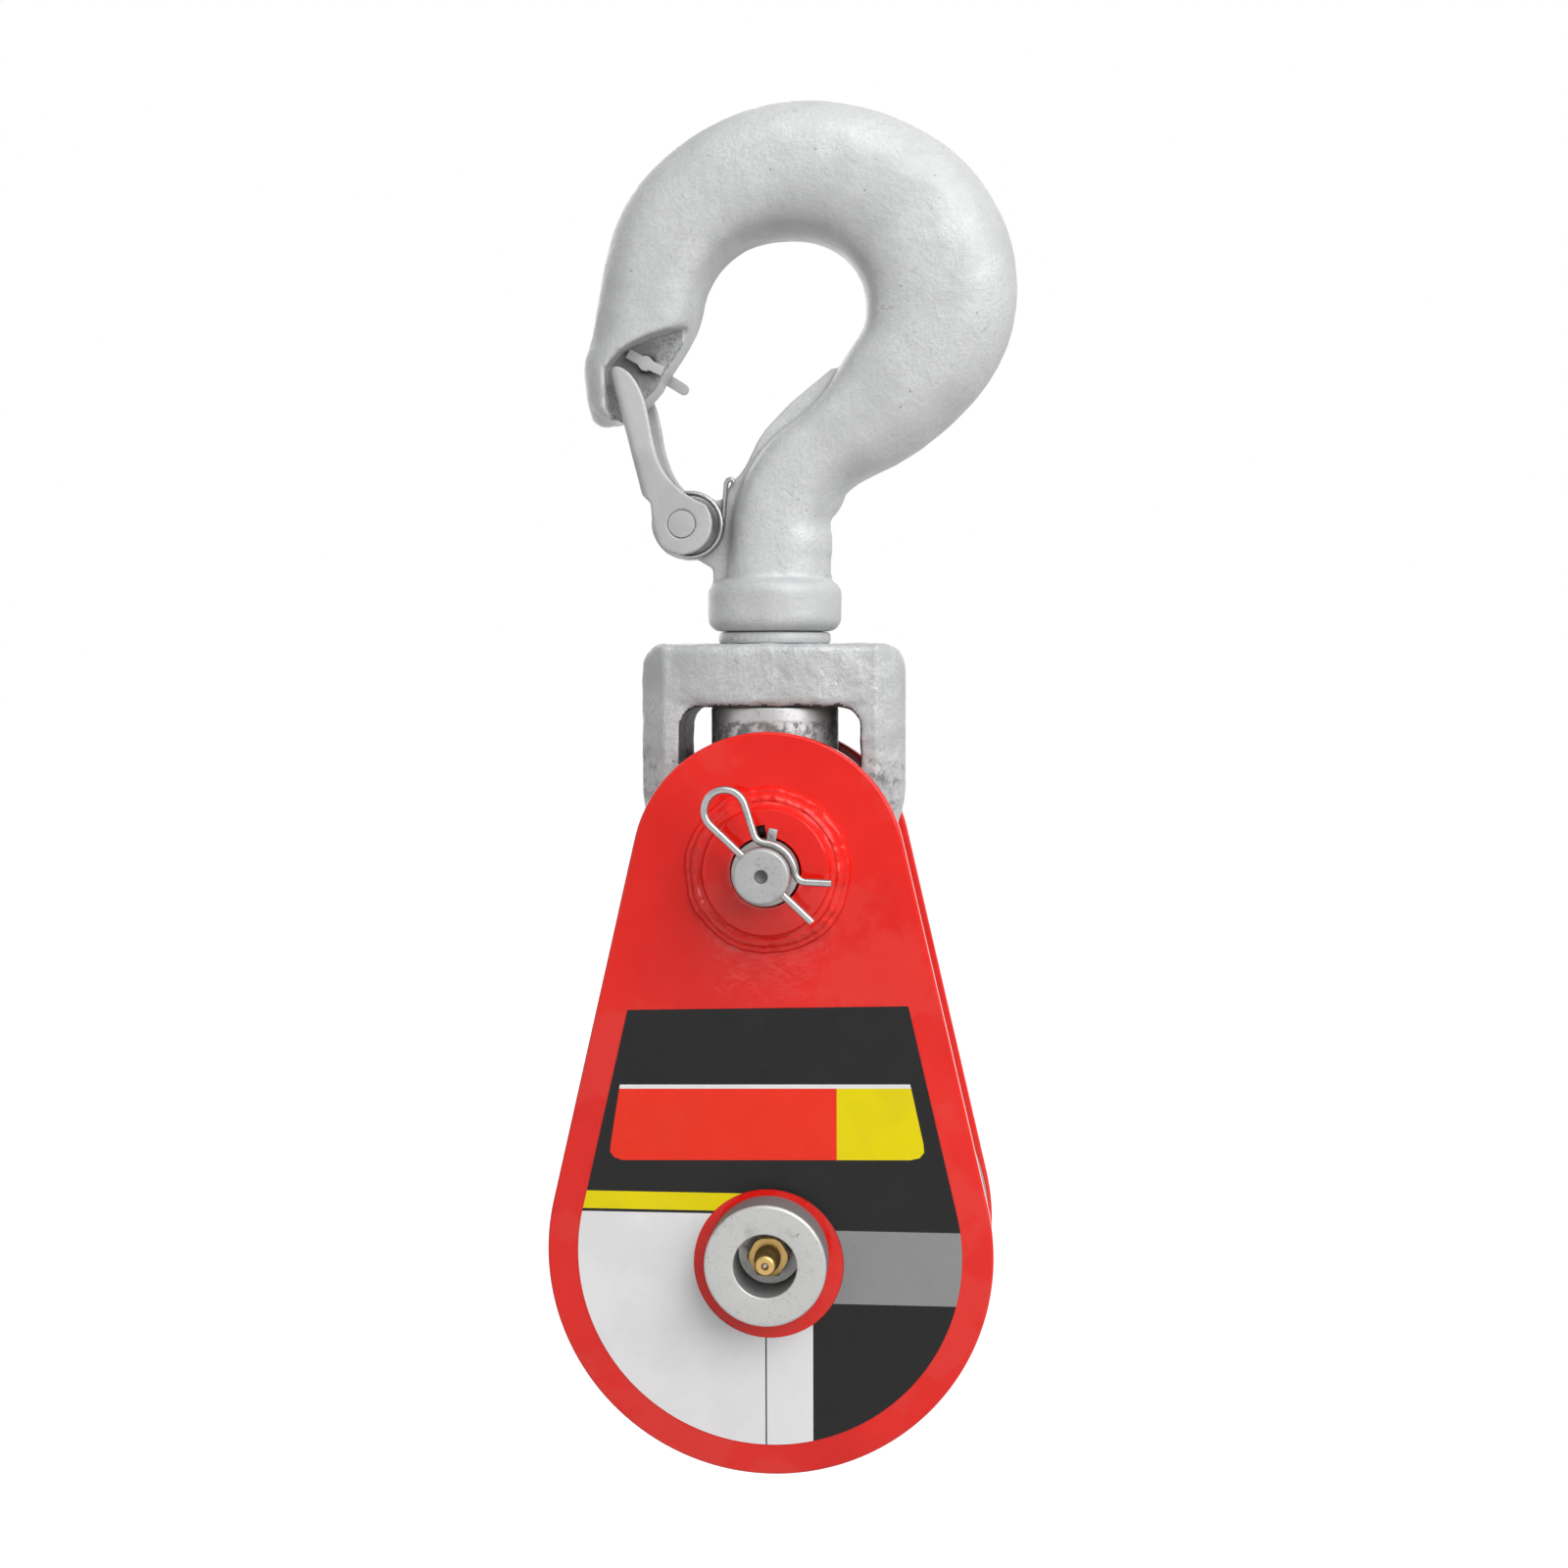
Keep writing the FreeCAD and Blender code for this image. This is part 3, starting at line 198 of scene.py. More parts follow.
def turned(name: str, profile: Sequence[Pair], centre: Point = (0.0, 0.0, 0.0),
           axis: Axis = Axis.DEPTH, sides: int = 96, edge: float = 0.0) -> Piece:
    """Turn a closed profile about an axis.

    Args:
        name: Name of the piece.
        profile: (radius, along) corners in millimetres.
        centre: Point of the axis, in millimetres, that "along" is counted from.
        axis: Direction of the axis.
        sides: Faces round it.
        edge: Rounding of its sharp edges in millimetres.

    Returns:
        The turned piece, with its place in its mesh.
    """
    deselect()
    middle = Vector(centre) * MM
    places = [middle + Vector((radius, 0, 0)) * MM + axis.value * along * MM for radius, along in profile]
    bpy.ops.mesh.primitive_plane_add(size=2 * MM, location=places[0])
    piece = made(name)
    with editing(piece):
        bpy.ops.mesh.merge(type="CENTER")
        for low, high in zip(places, places[1:]):
            bpy.ops.mesh.extrude_vertices_move(TRANSFORM_OT_translate={"value": high - low})
        bpy.ops.mesh.select_all(action="SELECT")
        bpy.ops.mesh.spin(steps=sides, angle=2 * math.pi, center=middle, axis=axis.value)
        bpy.ops.mesh.select_all(action="SELECT")
        bpy.ops.mesh.remove_doubles(threshold=MERGE)
        bpy.ops.mesh.normals_make_consistent(inside=False)
    if edge:
        soften(piece, edge)
    return settle(piece)


def ring_profile(outer: float, inner: float, low: float, high: float) -> list[Pair]:
    """Closed profile of a flat ring."""
    return [(inner, low), (outer, low), (outer, high), (inner, high), (inner, low)]


def wire(name: str, points: Sequence[Vector], radius: float) -> Piece:
    """Round wire with domed ends.

    Args:
        name: Name of the piece.
        points: Close points of its middle line in millimetres.
        radius: Radius of the wire in millimetres.

    Returns:
        The wire as a mesh.
    """
    deselect()
    line = bpy.data.curves.new(name, "CURVE")
    line.dimensions = "3D"
    line.bevel_depth = radius * MM
    line.bevel_resolution = 5
    line.use_fill_caps = True
    run = line.splines.new("POLY")
    run.points.add(len(points) - 1)
    for knot, point in zip(run.points, points):
        knot.co = (*(point * MM), 1.0)
    pick(placed(name, line))
    bpy.ops.object.convert(target="MESH")
    piece = made(name)
    soften(piece, radius * 0.35, 3, 60.0)
    return settle(piece, 50.0)


def bar(name: str, sides: int, radius: float, depth: float, centre: Point, turn: float = 0.0) -> Piece:
    """Prism along Y, in millimetres.

    Args:
        name: Name of the piece.
        sides: Flats round it.
        radius: Distance of its corners from its axis.
        depth: Length along Y.
        centre: Its middle.
        turn: Its turn about its axis in degrees.

    Returns:
        The prism, with its place in its mesh.
    """
    deselect()
    bpy.ops.mesh.primitive_cylinder_add(vertices=sides, radius=radius * MM, depth=depth * MM,
                                        location=Vector(centre) * MM,
                                        rotation=(math.pi / 2, math.radians(turn), 0.0))
    piece = made(name)
    bake_place()
    return piece


def carve(piece: Piece, tool: Piece, operation: str = "DIFFERENCE") -> None:
    """Cut a tool's shape out of a piece, or keep what both share, and put the tool away."""
    modify(piece, "BOOLEAN", operation=operation, object=tool, solver="EXACT")
    bpy.data.objects.remove(tool)


def join_on(piece: Piece, *others: Piece) -> None:
    """Join other pieces into one, as shells of its mesh."""
    pick(piece)
    for other in others:
        other.select_set(True)
    bpy.ops.object.join()


def blank_of(node: str, name: str) -> Piece:
    """Copy a CAD node as the blank that a finer piece is worked from.

    Args:
        node: The CAD node.
        name: Name of the finer piece.

    Returns:
        The copy, with its loose triangles merged.
    """
    deselect()
    piece = placed(name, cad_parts[node].data.copy())
    piece.data.name = name
    piece.data.materials.clear()
    with editing(piece):
        bpy.ops.mesh.remove_doubles(threshold=MERGE)
    return piece


def forge(piece: Piece, voxel: float, passes: int, trim: Callable[[Piece], None] | None = None) -> None:
    """Blend a blank's edges as forging and thick paint do.

    Args:
        piece: The merged blank.
        voxel: Size of the new mesh's faces in millimetres.
        passes: Smoothing passes.
        trim: Takes stock off between the new mesh and its smoothing.
    """
    modify(piece, "REMESH", mode="VOXEL", voxel_size=voxel * MM, adaptivity=0.0)
    if trim:
        trim(piece)
    modify(piece, "SMOOTH", factor=0.5, iterations=passes)


def hammer(piece: Piece, depth: float, where: Callable[[Vector], float], *blows: Point) -> None:
    """Raise and sink a surface as scale and hammering leave it.

    Args:
        piece: The mesh.
        depth: Depth of the deepest dents in millimetres.
        where: Share of the depth at a point in millimetres.
        *blows: (size in millimetres, share of the depth, pattern's shift), worked one after another.
    """
    mesh = piece.data
    for size, strength, seed in blows:
        shift = Vector((seed, 2.3 * seed, -1.7 * seed))
        moves = []
        for vertex in mesh.vertices:
            point = vertex.co / MM
            share = where(point) * strength
            lift = noise.fractal(point / size + shift, 0.9, 2.0, 3) * depth * share if share else 0.0
            moves.append(vertex.co + vertex.normal * lift * MM)
        for vertex, place in zip(mesh.vertices, moves):
            vertex.co = place
        mesh.update()


def round_noise(turn: float, waves: float, along: float) -> float:
    """Noise round a circle, without a seam.

    Args:
        turn: Place on the circle in radians.
        waves: How fast it changes round the circle.
        along: Place across the circle.

    Returns:
        The noise, about -1 to 1.
    """
    return noise.noise(Vector((waves * math.cos(turn), waves * math.sin(turn), along)))


def fit(piece: Piece, body: str, slot: str, material: Material, *nodes: str) -> None:
    """Dress a piece, ride it on its body and let it stand for CAD nodes.

    Args:
        piece: The finished piece.
        body: Body that it moves with.
        slot: The record's material slot; not used.
        material: Its material.
        *nodes: CAD nodes that it replaces.
    """
    piece.data.materials.clear()
    piece.data.materials.append(material)
    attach(piece, body)
    if nodes:
        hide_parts(*nodes)
    LOG.info("%s: %d faces, on %s", piece.name, len(piece.data.polygons), body)


def dress_part(piece: Piece, material: Material, test: Callable[[Vector, Vector], bool]) -> None:
    """Give a second material to a part of a piece.

    Args:
        piece: The dressed piece.
        material: The second material.
        test: Whether a face has it, from its centre in millimetres and its normal.
    """
    piece.data.materials.append(material)
    last = len(piece.data.materials) - 1
    for face in piece.data.polygons:
        if test(face.center / MM, face.normal):
            face.material_index = last


def coat_node(node: str, material: Material) -> None:
    """Give a CAD node that stays in view its material.

    Args:
        node: The CAD node.
        material: Its material.
    """
    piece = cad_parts[node]
    piece.data.materials.clear()
    piece.data.materials.append(material)
    LOG.info("%s: CAD node with %s", node, material.name)


# Finishes


def grey(level: float) -> Colour:
    """Neutral colour of one level."""
    return (level, level, level)


class Nodes:
    """A node tree, with short calls for the nodes that finishes and surround use."""

    def __init__(self, tree: bpy.types.NodeTree) -> None:
        """Work on one tree."""
        self.tree = tree

    def feed(self, socket: Socket, value: object) -> None:
        """Link a socket to another node's, or set it to a constant."""
        if isinstance(value, Socket):
            self.tree.links.new(value, socket)
        else:
            socket.default_value = value

    def add(self, kind: str, settings: dict | None = None, **inputs: object) -> bpy.types.Node:
        """Add a node.

        Args:
            kind: The node's type.
            settings: Its properties.
            **inputs: What feeds its sockets, by name, or by number as i0, i1 and so on.

        Returns:
            The node.
        """
        node = self.tree.nodes.new(kind)
        for key, value in (settings or {}).items():
            setattr(node, key, value)
        for key, value in inputs.items():
            numbered = key[0] == "i" and key[1:].isdigit()
            self.feed(node.inputs[int(key[1:]) if numbered else key], value)
        return node

    def math(self, operation: str, first: object, second: object = 0.0) -> Socket:
        """One sum of two values."""
        return self.add("ShaderNodeMath", {"operation": operation}, i0=first, i1=second).outputs[0]

    def band(self, value: Socket, low: float, high: float, start: float = 0.0, end: float = 1.0) -> Socket:
        """Carry a value from one range to another, smoothly and held at its ends.

        Args:
            value: The value.
            low: Where its range starts.
            high: Where its range ends.
            start: What low becomes.
            end: What high becomes.

        Returns:
            The new value.
        """
        node = self.add("ShaderNodeMapRange", {"interpolation_type": "SMOOTHSTEP"}, Value=value)
        for socket, number in zip(("From Min", "From Max", "To Min", "To Max"), (low, high, start, end)):
            node.inputs[socket].default_value = number
        return node.outputs["Result"]

    def shown_white(self) -> Socket:
        """Share of white for the rays that see the background: camera, glossy and transmission."""
        path = self.add("ShaderNodeLightPath").outputs
        seen = self.math("MAXIMUM", path["Is Camera Ray"], path["Is Glossy Ray"])
        return self.math("MAXIMUM", seen, path["Is Transmission Ray"])


class Shader(Nodes):
    """A material's node tree."""

    def __init__(self, name: str) -> None:
        """Start a material with one Principled shader."""
        self.material = bpy.data.materials.new(name)
        self.material.use_nodes = True
        super().__init__(self.material.node_tree)
        self.surface = self.tree.nodes["Principled BSDF"]
        self.place = self.add("ShaderNodeTexCoord").outputs["Object"]

    def set(self, **inputs: object) -> None:
        """Set or link sockets of the surface; underscores stand for spaces."""
        for key, value in inputs.items():
            self.feed(self.surface.inputs[key.replace("_", " ")], value)

    def noise(self, size: float, detail: float = 3.0, rough: float = 0.5) -> Socket:
        """Noise whose patches are about size millimetres across."""
        return self.add("ShaderNodeTexNoise", Vector=self.place, Scale=1.0 / (size * MM), Detail=detail,
                        Roughness=rough).outputs["Fac"]

    def cells(self, size: float) -> Socket:
        """Distance to the nearest of points about size millimetres apart."""
        return self.add("ShaderNodeTexVoronoi", Vector=self.place, Scale=1.0 / (size * MM)).outputs["Distance"]

    def along(self, axis: str, place: Socket | None = None) -> Socket:
        """Coordinate along X, Y or Z, in metres."""
        return self.add("ShaderNodeSeparateXYZ", Vector=place or self.place).outputs[axis]

    def scratches(self, size: float, width: float, share: float) -> Socket:
        """Thin wandering lines, broken up so that they cover only a part of the surface.

        Args:
            size: How far apart the lines wander, in millimetres.
            width: Their width as a share of that.
            share: Share of the surface that has them.

        Returns:
            1 on a line and 0 beside it.
        """
        line = self.math("ABSOLUTE", self.math("SUBTRACT", self.noise(size, 1.0), 0.5))
        patch = self.band(self.noise(size * 0.6), 1.0 - share, 1.06 - share)
        return self.math("MULTIPLY", self.band(line, width, 0.0), patch)

    def specks(self, size: float, near: float, far: float, patch: Socket) -> Socket:
        """Round specks that lie in patches.

        Args:
            size: Their distance in millimetres.
            near: Radius of their full part, as a share of that.
            far: Radius where they end.
            patch: Share of specks at a place.

        Returns:
            1 on a speck and 0 beside it.
        """
        return self.math("MULTIPLY", self.band(self.cells(size), far, near), patch)

    def mix(self, share: object, first: object, second: object) -> Socket:
        """Colour between two, by a share."""
        node = self.add("ShaderNodeMix", {"data_type": "RGBA"})
        for index, value in ((0, share), (6, first), (7, second)):
            self.feed(node.inputs[index], (*value, 1.0) if isinstance(value, tuple) else value)
        return node.outputs[2]

    def bump(self, *layers: tuple[Socket, float, float]) -> None:
        """Stack bumps on the surface.

        Args:
            *layers: (height, strength, distance in millimetres) of each bump.
        """
        normal = None
        for height, strength, distance in layers:
            node = self.add("ShaderNodeBump", Height=height, Strength=strength, Distance=distance * MM)
            if normal:
                self.feed(node.inputs["Normal"], normal)
            normal = node.outputs["Normal"]
        self.feed(self.surface.inputs["Normal"], normal)


@dataclass(frozen=True)
class SilverPaint:
    """Silver-grey paint over a forging or a sheet.

    Attributes:
        name: Material's name.
        colour: Lighter paint.
        shade: Paint where it lies thin or dirty.
        pits: Share of the surface that has pits, 0 to 1.
        grain: Strength of the fine texture.
        dents: Strength of the hammered texture.
        rough: Roughness of the paint.
        smudge: Heights in millimetres, from clean to smudged with oily dirt.
    """

    name: str
    colour: Colour = (0.575, 0.58, 0.585)
    shade: Colour = (0.475, 0.48, 0.485)
    pits: float = 0.5
    grain: float = 0.5
    dents: float = 0.4
    rough: float = 0.44
    smudge: Pair | None = None

    def material(self) -> Material:
        """Build the material."""
        s = Shader(self.name)
        cloud = s.noise(22.0, 4.0, 0.6)
        fleck = s.noise(0.9, 3.0, 0.7)
        tone = s.mix(s.band(cloud, 0.36, 0.68), self.colour, self.shade)
        tone = s.mix(s.band(fleck, 0.44, 0.64, 0.0, self.grain), tone, self.shade)
        spots = s.specks(3.4, 0.05, 0.13, s.band(s.noise(9.0), 0.54, 0.62, 0.0, self.pits))
        lines = s.scratches(11.0, 0.006, 0.46)
        tone = s.mix(spots, tone, grey(0.14))
        tone = s.mix(s.math("MULTIPLY", lines, 0.3), tone, grey(0.26))
        if self.smudge:
            low, high = (edge * MM for edge in self.smudge)
            patch = s.band(s.noise(3.2, 5.0, 0.7), 0.47, 0.68, 0.0, 0.7)
            tone = s.mix(s.math("MULTIPLY", s.band(s.along("Z"), low, high), patch), tone, grey(0.07))
        rough = s.band(cloud, 0.3, 0.7, self.rough - 0.06, self.rough + 0.08)
        s.set(Base_Color=tone, Metallic=0.12, Specular_IOR_Level=0.3, Roughness=rough)
        sunk = s.math("SUBTRACT", 1.0, s.math("MAXIMUM", spots, lines))
        s.bump((s.noise(4.5, 3.0), self.dents, 0.35), (s.noise(1.3, 3.0, 0.7), self.grain, 0.3),
               (sunk, 0.5, 0.1))
        return s.material


@dataclass(frozen=True)
class RedPaint:
    """Thick glossy red paint with the slow waves and fine peel of a dipped coat.

    Attributes:
        name: Material's name.
        colour: The paint.
        deep: Paint where it lies thick.
        painted_sheen: Lighter, pinkish paint in crisp-edged patches: a painted reflection of the surround.
        peel: Strength of the fine peel.
    """

    name: str = "red_gloss_paint"
    colour: Colour = (0.80, 0.013, 0.007)
    deep: Colour = (0.72, 0.009, 0.005)
    painted_sheen: Colour = (0.77, 0.034, 0.024)
    peel: float = 0.14

    def material(self) -> Material:
        """Build the material."""
        s = Shader(self.name)
        dust = s.specks(4.5, 0.03, 0.09, s.band(s.noise(9.0), 0.52, 0.6))
        tone = s.mix(s.band(s.noise(30.0, 3.0), 0.35, 0.7), self.colour, self.deep)
        # Painted reflection: crisp patches of the lighter, pinkish colour stand for the surround mirrored in
        # the gloss.
        tone = s.mix(s.band(s.noise(42.0, 6.0, 0.62), 0.5, 0.56, 0.0, 0.6), tone, self.painted_sheen)
        rough = s.band(s.noise(9.0, 5.0, 0.65), 0.35, 0.65, 0.06, 0.14)
        s.set(Base_Color=tone, Roughness=rough, Specular_IOR_Level=0.25)
        s.bump((s.noise(14.0, 4.0, 0.6), 0.4, 0.5), (s.noise(2.2, 2.0), self.peel, 0.08), (dust, 0.5, 0.08))
        return s.material


@dataclass(frozen=True)
class BareMetal:
    """Plated or machined metal with lathe rings, handling marks and specks.

    Attributes:
        name: Material's name.
        colour: Clean metal.
        stain: Stained metal.
        rough: Roughness of the clean metal.
        stains: Share of stains, 0 to 1.
        rings: Strength of the lathe's rings.
        axis: Direction that the rings are turned about.
        centre: A point of their axis in millimetres.
        pitch: Distance between the rings in millimetres.
        metallic: How far it mirrors, 0 to 1.
        sooty: Heights in millimetres from the centre, from clean to stained.
    """

    name: str
    colour: Colour
    stain: Colour
    rough: float = 0.32
    stains: float = 0.5
    rings: float = 0.3
    axis: Axis = Axis.DEPTH
    centre: Point = (0.0, 0.0, 0.0)
    pitch: float = 0.5
    metallic: float = 0.85
    sooty: Pair | None = None

    def material(self) -> Material:
        """Build the material."""
        s = Shader(self.name)
        centred = s.add("ShaderNodeVectorMath", {"operation": "SUBTRACT"}, i0=s.place,
                        i1=tuple(value * MM for value in self.centre)).outputs[0]
        way = "Y" if self.axis is Axis.DEPTH else "Z"
        wave = s.add("ShaderNodeTexWave", {"wave_type": "RINGS", "rings_direction": way}, Vector=centred,
                     Scale=0.314 / (self.pitch * MM), Distortion=0.6, Detail=2.0).outputs["Fac"]
        cloud = s.noise(6.0, 5.0, 0.65)
        speck = s.noise(0.7, 3.0, 0.7)
        dirt = s.math("MULTIPLY", s.band(cloud, 0.52, 0.75), self.stains * 0.6)
        dirt = s.math("MAXIMUM", dirt, s.band(speck, 0.6, 0.7, 0.0, self.stains))
        dirt = s.math("MAXIMUM", dirt, s.math("MULTIPLY", s.scratches(5.0, 0.008, 0.5), self.stains))
        if self.sooty:
            low, high = (edge * MM for edge in self.sooty)
            patch = s.band(s.noise(2.4, 4.0, 0.7), 0.4, 0.6)
            blot = s.math("MULTIPLY", s.band(s.along("Z", centred), low, high), patch)
            dirt = s.math("MAXIMUM", dirt, s.math("MULTIPLY", blot, 0.8))
        tone = s.mix(dirt, self.colour, self.stain)
        rough = s.band(dirt, 0.0, 1.0, self.rough, self.rough + 0.25)
        s.set(Base_Color=tone, Metallic=self.metallic, Roughness=rough)
        s.bump((wave, self.rings, 0.03), (speck, 0.25, 0.03))
        return s.material


@dataclass(frozen=True)
class PrintedFilm:
    """One ink of the label: satin film with faint mottling and dust under it.

    Attributes:
        name: Material's name.
        colour: The ink.
    """

    name: str
    colour: Colour

    def material(self) -> Material:
        """Build the material."""
        s = Shader(self.name)
        worn = tuple(value * 0.94 + 0.002 for value in self.colour)
        tone = s.mix(s.band(s.noise(16.0, 4.0), 0.4, 0.7), self.colour, worn)
        s.set(Base_Color=tone, Roughness=s.band(s.noise(5.0), 0.3, 0.7, 0.26, 0.38), Specular_IOR_Level=0.22)
        s.bump((s.noise(18.0, 2.0), 0.2, 0.3), (s.noise(1.1), 0.08, 0.03))
        return s.material


# Where things are, in millimetres

PLATE_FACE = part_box("front_plate")[0].y / MM
PLATE_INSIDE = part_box("front_plate")[1].y / MM
REAR_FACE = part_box("rear_plate")[1].y / MM
PIN_Z = -169.5
AXLE_Z = PIN_Z - 103.5
PIN_AT = (0.0, 0.0, PIN_Z)
AXLE_AT = (0.0, 0.0, AXLE_Z)
COLLAR_LOW = -106.1
BOSS_HEIGHT = 5.6
NUT_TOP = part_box("swivel_nut")[1].z / MM
NUT_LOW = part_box("swivel_nut")[0].z / MM


class Paints:
    """The block's finishes, each made once."""

    def __init__(self) -> None:
        """Build every shared material."""
        self.forging = SilverPaint("silver_paint_on_forging", dents=0.25, pits=0.6, grain=0.7).material()
        self.yoke = SilverPaint(
            "silver_paint_on_rough_yoke", (0.54, 0.545, 0.55), (0.42, 0.425, 0.43),
            pits=0.9, grain=0.9, dents=0.8, rough=0.38, smudge=(-131.0, -146.0)).material()
        # Near-black paint for the yoke's window walls and the bridge's underside: painted shade.
        self.window_shade = SilverPaint(
            "painted_shade_in_window", grey(0.13), grey(0.06), pits=0.5, grain=0.9, dents=0.8, rough=0.5).material()
        # Darker paint for the recess in the hook's tip: painted shade under the tip's arch.
        self.pocket = SilverPaint(
            "painted_shade_in_pocket", (0.36, 0.365, 0.37), grey(0.20),
            pits=0.8, grain=0.9, dents=0.5, rough=0.5).material()
        self.sheet = SilverPaint(
            "silver_paint_on_sheet", (0.50, 0.505, 0.50), (0.42, 0.425, 0.42),
            pits=0.2, grain=0.25, dents=0.12, rough=0.42).material()
        self.red = RedPaint().material()
        self.zinc = BareMetal(
            "zinc_plated_axle", (0.47, 0.47, 0.46), grey(0.17), rough=0.42, stains=0.6, rings=0.25,
            centre=AXLE_AT, pitch=0.7, metallic=0.55).material()
        self.bore = BareMetal(
            "shaded_bore_steel", (0.16, 0.165, 0.17), grey(0.07), rough=0.6, stains=0.6,
            centre=AXLE_AT, pitch=0.7, metallic=0.05).material()
        self.pin = BareMetal(
            "zinc_plated_pin", grey(0.37), grey(0.10), rough=0.45, stains=0.8,
            centre=PIN_AT, metallic=0.6).material()
        self.turned = BareMetal(
            "turned_nut_steel", grey(0.42), grey(0.09), rough=0.42, stains=0.7, axis=Axis.UP,
            centre=(0.0, 0.0, NUT_TOP), pitch=0.6, metallic=0.5, sooty=(-3.0, -4.6)).material()
        self.wire = BareMetal(
            "bright_spring_wire", (0.34, 0.34, 0.335), grey(0.10), rough=0.2, stains=0.6, rings=0.0).material()
        self.brass = BareMetal(
            "machined_brass", (0.50, 0.33, 0.12), (0.24, 0.14, 0.05), centre=AXLE_AT, pitch=0.4).material()
        self.bronze = BareMetal(
            "bushing_bronze", (0.60, 0.38, 0.16), (0.30, 0.18, 0.08), rough=0.3, stains=0.4, rings=0.4,
            centre=AXLE_AT).material()
        self.sheave = BareMetal(
            "sheave_dark_steel", (0.30, 0.30, 0.31), (0.14, 0.14, 0.15), rough=0.4, rings=0.4,
            centre=AXLE_AT, pitch=0.9).material()


@dataclass
class ForgedHook:
    """Hook with its rib, lug, collar and stem, under silver paint.

    Attributes:
        voxel: Mesh size in millimetres.
        passes: Smoothing that blends rib, collar and bowl.
        dent: Depth of the forging's dents.
        blows: Size, share of the depth and pattern of the coarse and the fine dents.
        collar: Radius of the collar.
        collar_top: Height of its top.
        collar_round: Rounding of its top.
        bowl_from: Height over which the dents are at full depth.
        neck: The neck stock's middle across, half width and half depth.
        neck_heights: Its foot and top.
        neck_back: How far the neck may reach to the right of the swivel axis.
        neck_flare: How fast that grows above flare_from, per square millimetre.
        flare_from: Height where the flare starts.
        pocket: Left, right, low, high and depth of the tip's recess.
        swells: Stock that is blended in, as (centre, half sizes, lean in degrees).
    """

    voxel: float = 0.7
    passes: int = 4
    dent: float = 0.12
    blows: tuple[Point, ...] = ((9.0, 1.0, 1.0), (2.2, 0.25, 4.0))
    collar: float = 18.3
    collar_top: float = -92.2
    collar_round: float = 3.8
    bowl_from: float = -92.0
    neck: Point = (1.9, 13.5, 13.3)
    neck_heights: Pair = (-94.0, -73.0)
    neck_back: float = 15.7
    neck_flare: float = 0.034
    flare_from: float = -81.5
    pocket: tuple[float, float, float, float, float] = (-45.5, -24.0, -52.0, -24.5, 8.4)
    swells: tuple[tuple[Point, Point, float], ...] = (
        ((-46.4, 0.0, -45.9), (4.1, 8.5, 4.3), 0.0),
        ((13.8, 0.0, -70.0), (5.0, 6.0, 8.0), 31.0))

    def on_forging(self, point: Vector) -> float:
        """Share of the dents at a point: none on the stem, and few on the collar."""
        return 0.0 if point.z < COLLAR_LOW + 1.0 else 0.5 if point.z < self.bowl_from else 1.0

    def in_shaded_pocket(self, point: Vector, normal: Vector) -> bool:
        """Whether a face is part of the recess in the tip, whose faces get painted shade."""
        left, right, low, high, deep = self.pocket
        inside = left < point.x < right and low < point.z < high and abs(point.y) < deep
        return inside and abs(normal.y) > 0.35

    def fill(self, hook: Piece) -> None:
        """Add stock at the neck's back and in the tip's corner, for the remesh to blend in."""
        low, high = self.neck_heights
        x, half, deep = self.neck
        deselect()
        bpy.ops.mesh.primitive_cylinder_add(vertices=64, radius=MM, depth=MM)
        stock = [stretched("neck_sleeve", (x, 0.0, (low + high) / 2), (half, deep, high - low))]
        for centre, reach, lean in self.swells:
            deselect()
            bpy.ops.mesh.primitive_uv_sphere_add(segments=32, ring_count=16, radius=MM)
            stock.append(stretched("forging_swell", centre, reach, lean))
        join_on(hook, *stock)

    def trim(self, hook: Piece) -> None:
        """Bring what stands past the collar and the neck back to their turned outline."""
        crown = self.collar_top - self.collar_round
        for vertex in hook.data.vertices:
            point = vertex.co / MM
            if point.x < 0.0 or not COLLAR_LOW < point.z < self.neck_heights[1]:
                continue
            rise = min(self.collar_round, max(0.0, point.z - crown))
            rim = self.collar - self.collar_round + math.sqrt(self.collar_round ** 2 - rise ** 2)
            flare = self.neck_flare * max(0.0, point.z - self.flare_from) ** 2
            limit = self.neck_back + flare if point.z > self.collar_top else max(rim, self.neck_back)
            reach = math.hypot(point.x, point.y)
            if reach > limit:
                vertex.co.x *= limit / reach
                vertex.co.y *= limit / reach

    def build(self, paints: Paints) -> None:
        """Work the hook from its CAD blank and paint it."""
        hook = blank_of("hook", "forged_hook")
        self.fill(hook)
        forge(hook, self.voxel, self.passes, self.trim)
        hammer(hook, self.dent, self.on_forging, *self.blows)
        fit(settle(hook, 60.0), "hook_body", "silver_paint", paints.forging, "hook")
        # Painted shade: the recess in the tip gets the darker paint.
        dress_part(hook, paints.pocket, self.in_shaded_pocket)


